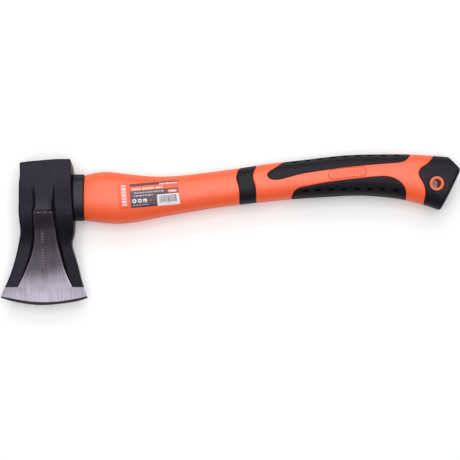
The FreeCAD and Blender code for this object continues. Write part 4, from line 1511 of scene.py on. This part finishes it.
outline = rounded([(491, 311), (716, 290), (735, 405), (500, 428)], 8)
prints = []
x = 516
while x < 694:
    w = random.choice((4, 4, 6, 8, 10))
    long = 72 + (8 if x < 530 or x > 684 else 0)
    y0 = 320 - (x - 516) * 0.092
    prints.append((slanted(x, y0, x + w, long), 1))
    x += w + random.choice((4, 5, 7))
x = 586
for w in (12, 16, 12, 14):
    prints.append((slanted(x, 405 - (x - 516) * 0.088, x + w, 5), 3))
    x += w + 4
STICKER = [print_ink("sticker_white", (238, 226, 234), 0.48), print_ink("sticker_ink", (70, 60, 72), 0.46), INK_WHITE, INK_PALE]
sticker = film("bar_sticker", outline, prints, STICKER, 0, 0.22)
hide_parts("barcode_label")

# ------------------------------------------------------ pieces kept from the CAD
def dress(node, mat):
    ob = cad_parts[node]
    ob.data.materials.clear()
    ob.data.materials.append(mat)


dress("fibreglass_core", fibreglass())
dress("eye_epoxy", resin())
dress("eye_seal_ring", rubber("seal_rubber"))

# --------------------------------------------------------- stage, light, camera
me = bpy.data.meshes.new("floor")
S = 6.0
me.from_pydata([(-S, -S, 0), (S, -S, 0), (S, S, 0), (-S, S, 0)], [], [(0, 1, 2, 3)])
floor = bpy.data.objects.new("floor", me)
bpy.context.scene.collection.objects.link(floor)
fm, fnt, fb = nodes("floor_paint")
fnoise = noise(fnt, coords(fnt), 3.0, 2.0)
fnt.links.new(ramp(fnt, fnoise, [(0.3, (0.93, 0.93, 0.93)), (0.7, (0.95, 0.95, 0.95))]), fb.inputs["Base Color"])
fb.inputs["Roughness"].default_value = 0.9
fb.inputs["Emission Color"].default_value = (1, 1, 1, 1)
fb.inputs["Emission Strength"].default_value = 0.10
fb.inputs["Specular IOR Level"].default_value = 0.1
me.materials.append(fm)


def area(name, loc, target, size, power, size_y=None, color=(1, 1, 1)):
    li = bpy.data.lights.new(name, "AREA")
    li.shape = "RECTANGLE"
    li.size, li.size_y = size, size_y or size
    li.energy = power
    li.color = color
    ob = bpy.data.objects.new(name, li)
    bpy.context.scene.collection.objects.link(ob)
    ob.location = loc
    ob.rotation_euler = (Vector(target) - Vector(loc)).to_track_quat("-Z", "Y").to_euler()
    return ob


area("key", (0.0, 0.27, 2.45), (0, 0.27, 0), 2.4, 56, 2.45)
area("upper", (0.0, 2.2, 1.9), (0, 0, 0), 2.4, 30, 1.3)

world = bpy.data.worlds.new("studio")
bpy.context.scene.world = world
world.use_nodes = True
wnt = world.node_tree
bg = wnt.nodes["Background"]
bg.inputs["Color"].default_value = (1, 1, 1, 1)
bg.inputs["Strength"].default_value = 0.15

cam = bpy.data.cameras.new("camera")
cam.sensor_width = 36
cam.lens = 138.5
co = bpy.data.objects.new("camera", cam)
co.location = (0.0, -0.00024, 0.0185 + 1.6815)
co.rotation_euler = (0, 0, 0)
bpy.context.scene.collection.objects.link(co)
bpy.context.scene.camera = co
bpy.context.scene.view_settings.view_transform = "Standard"
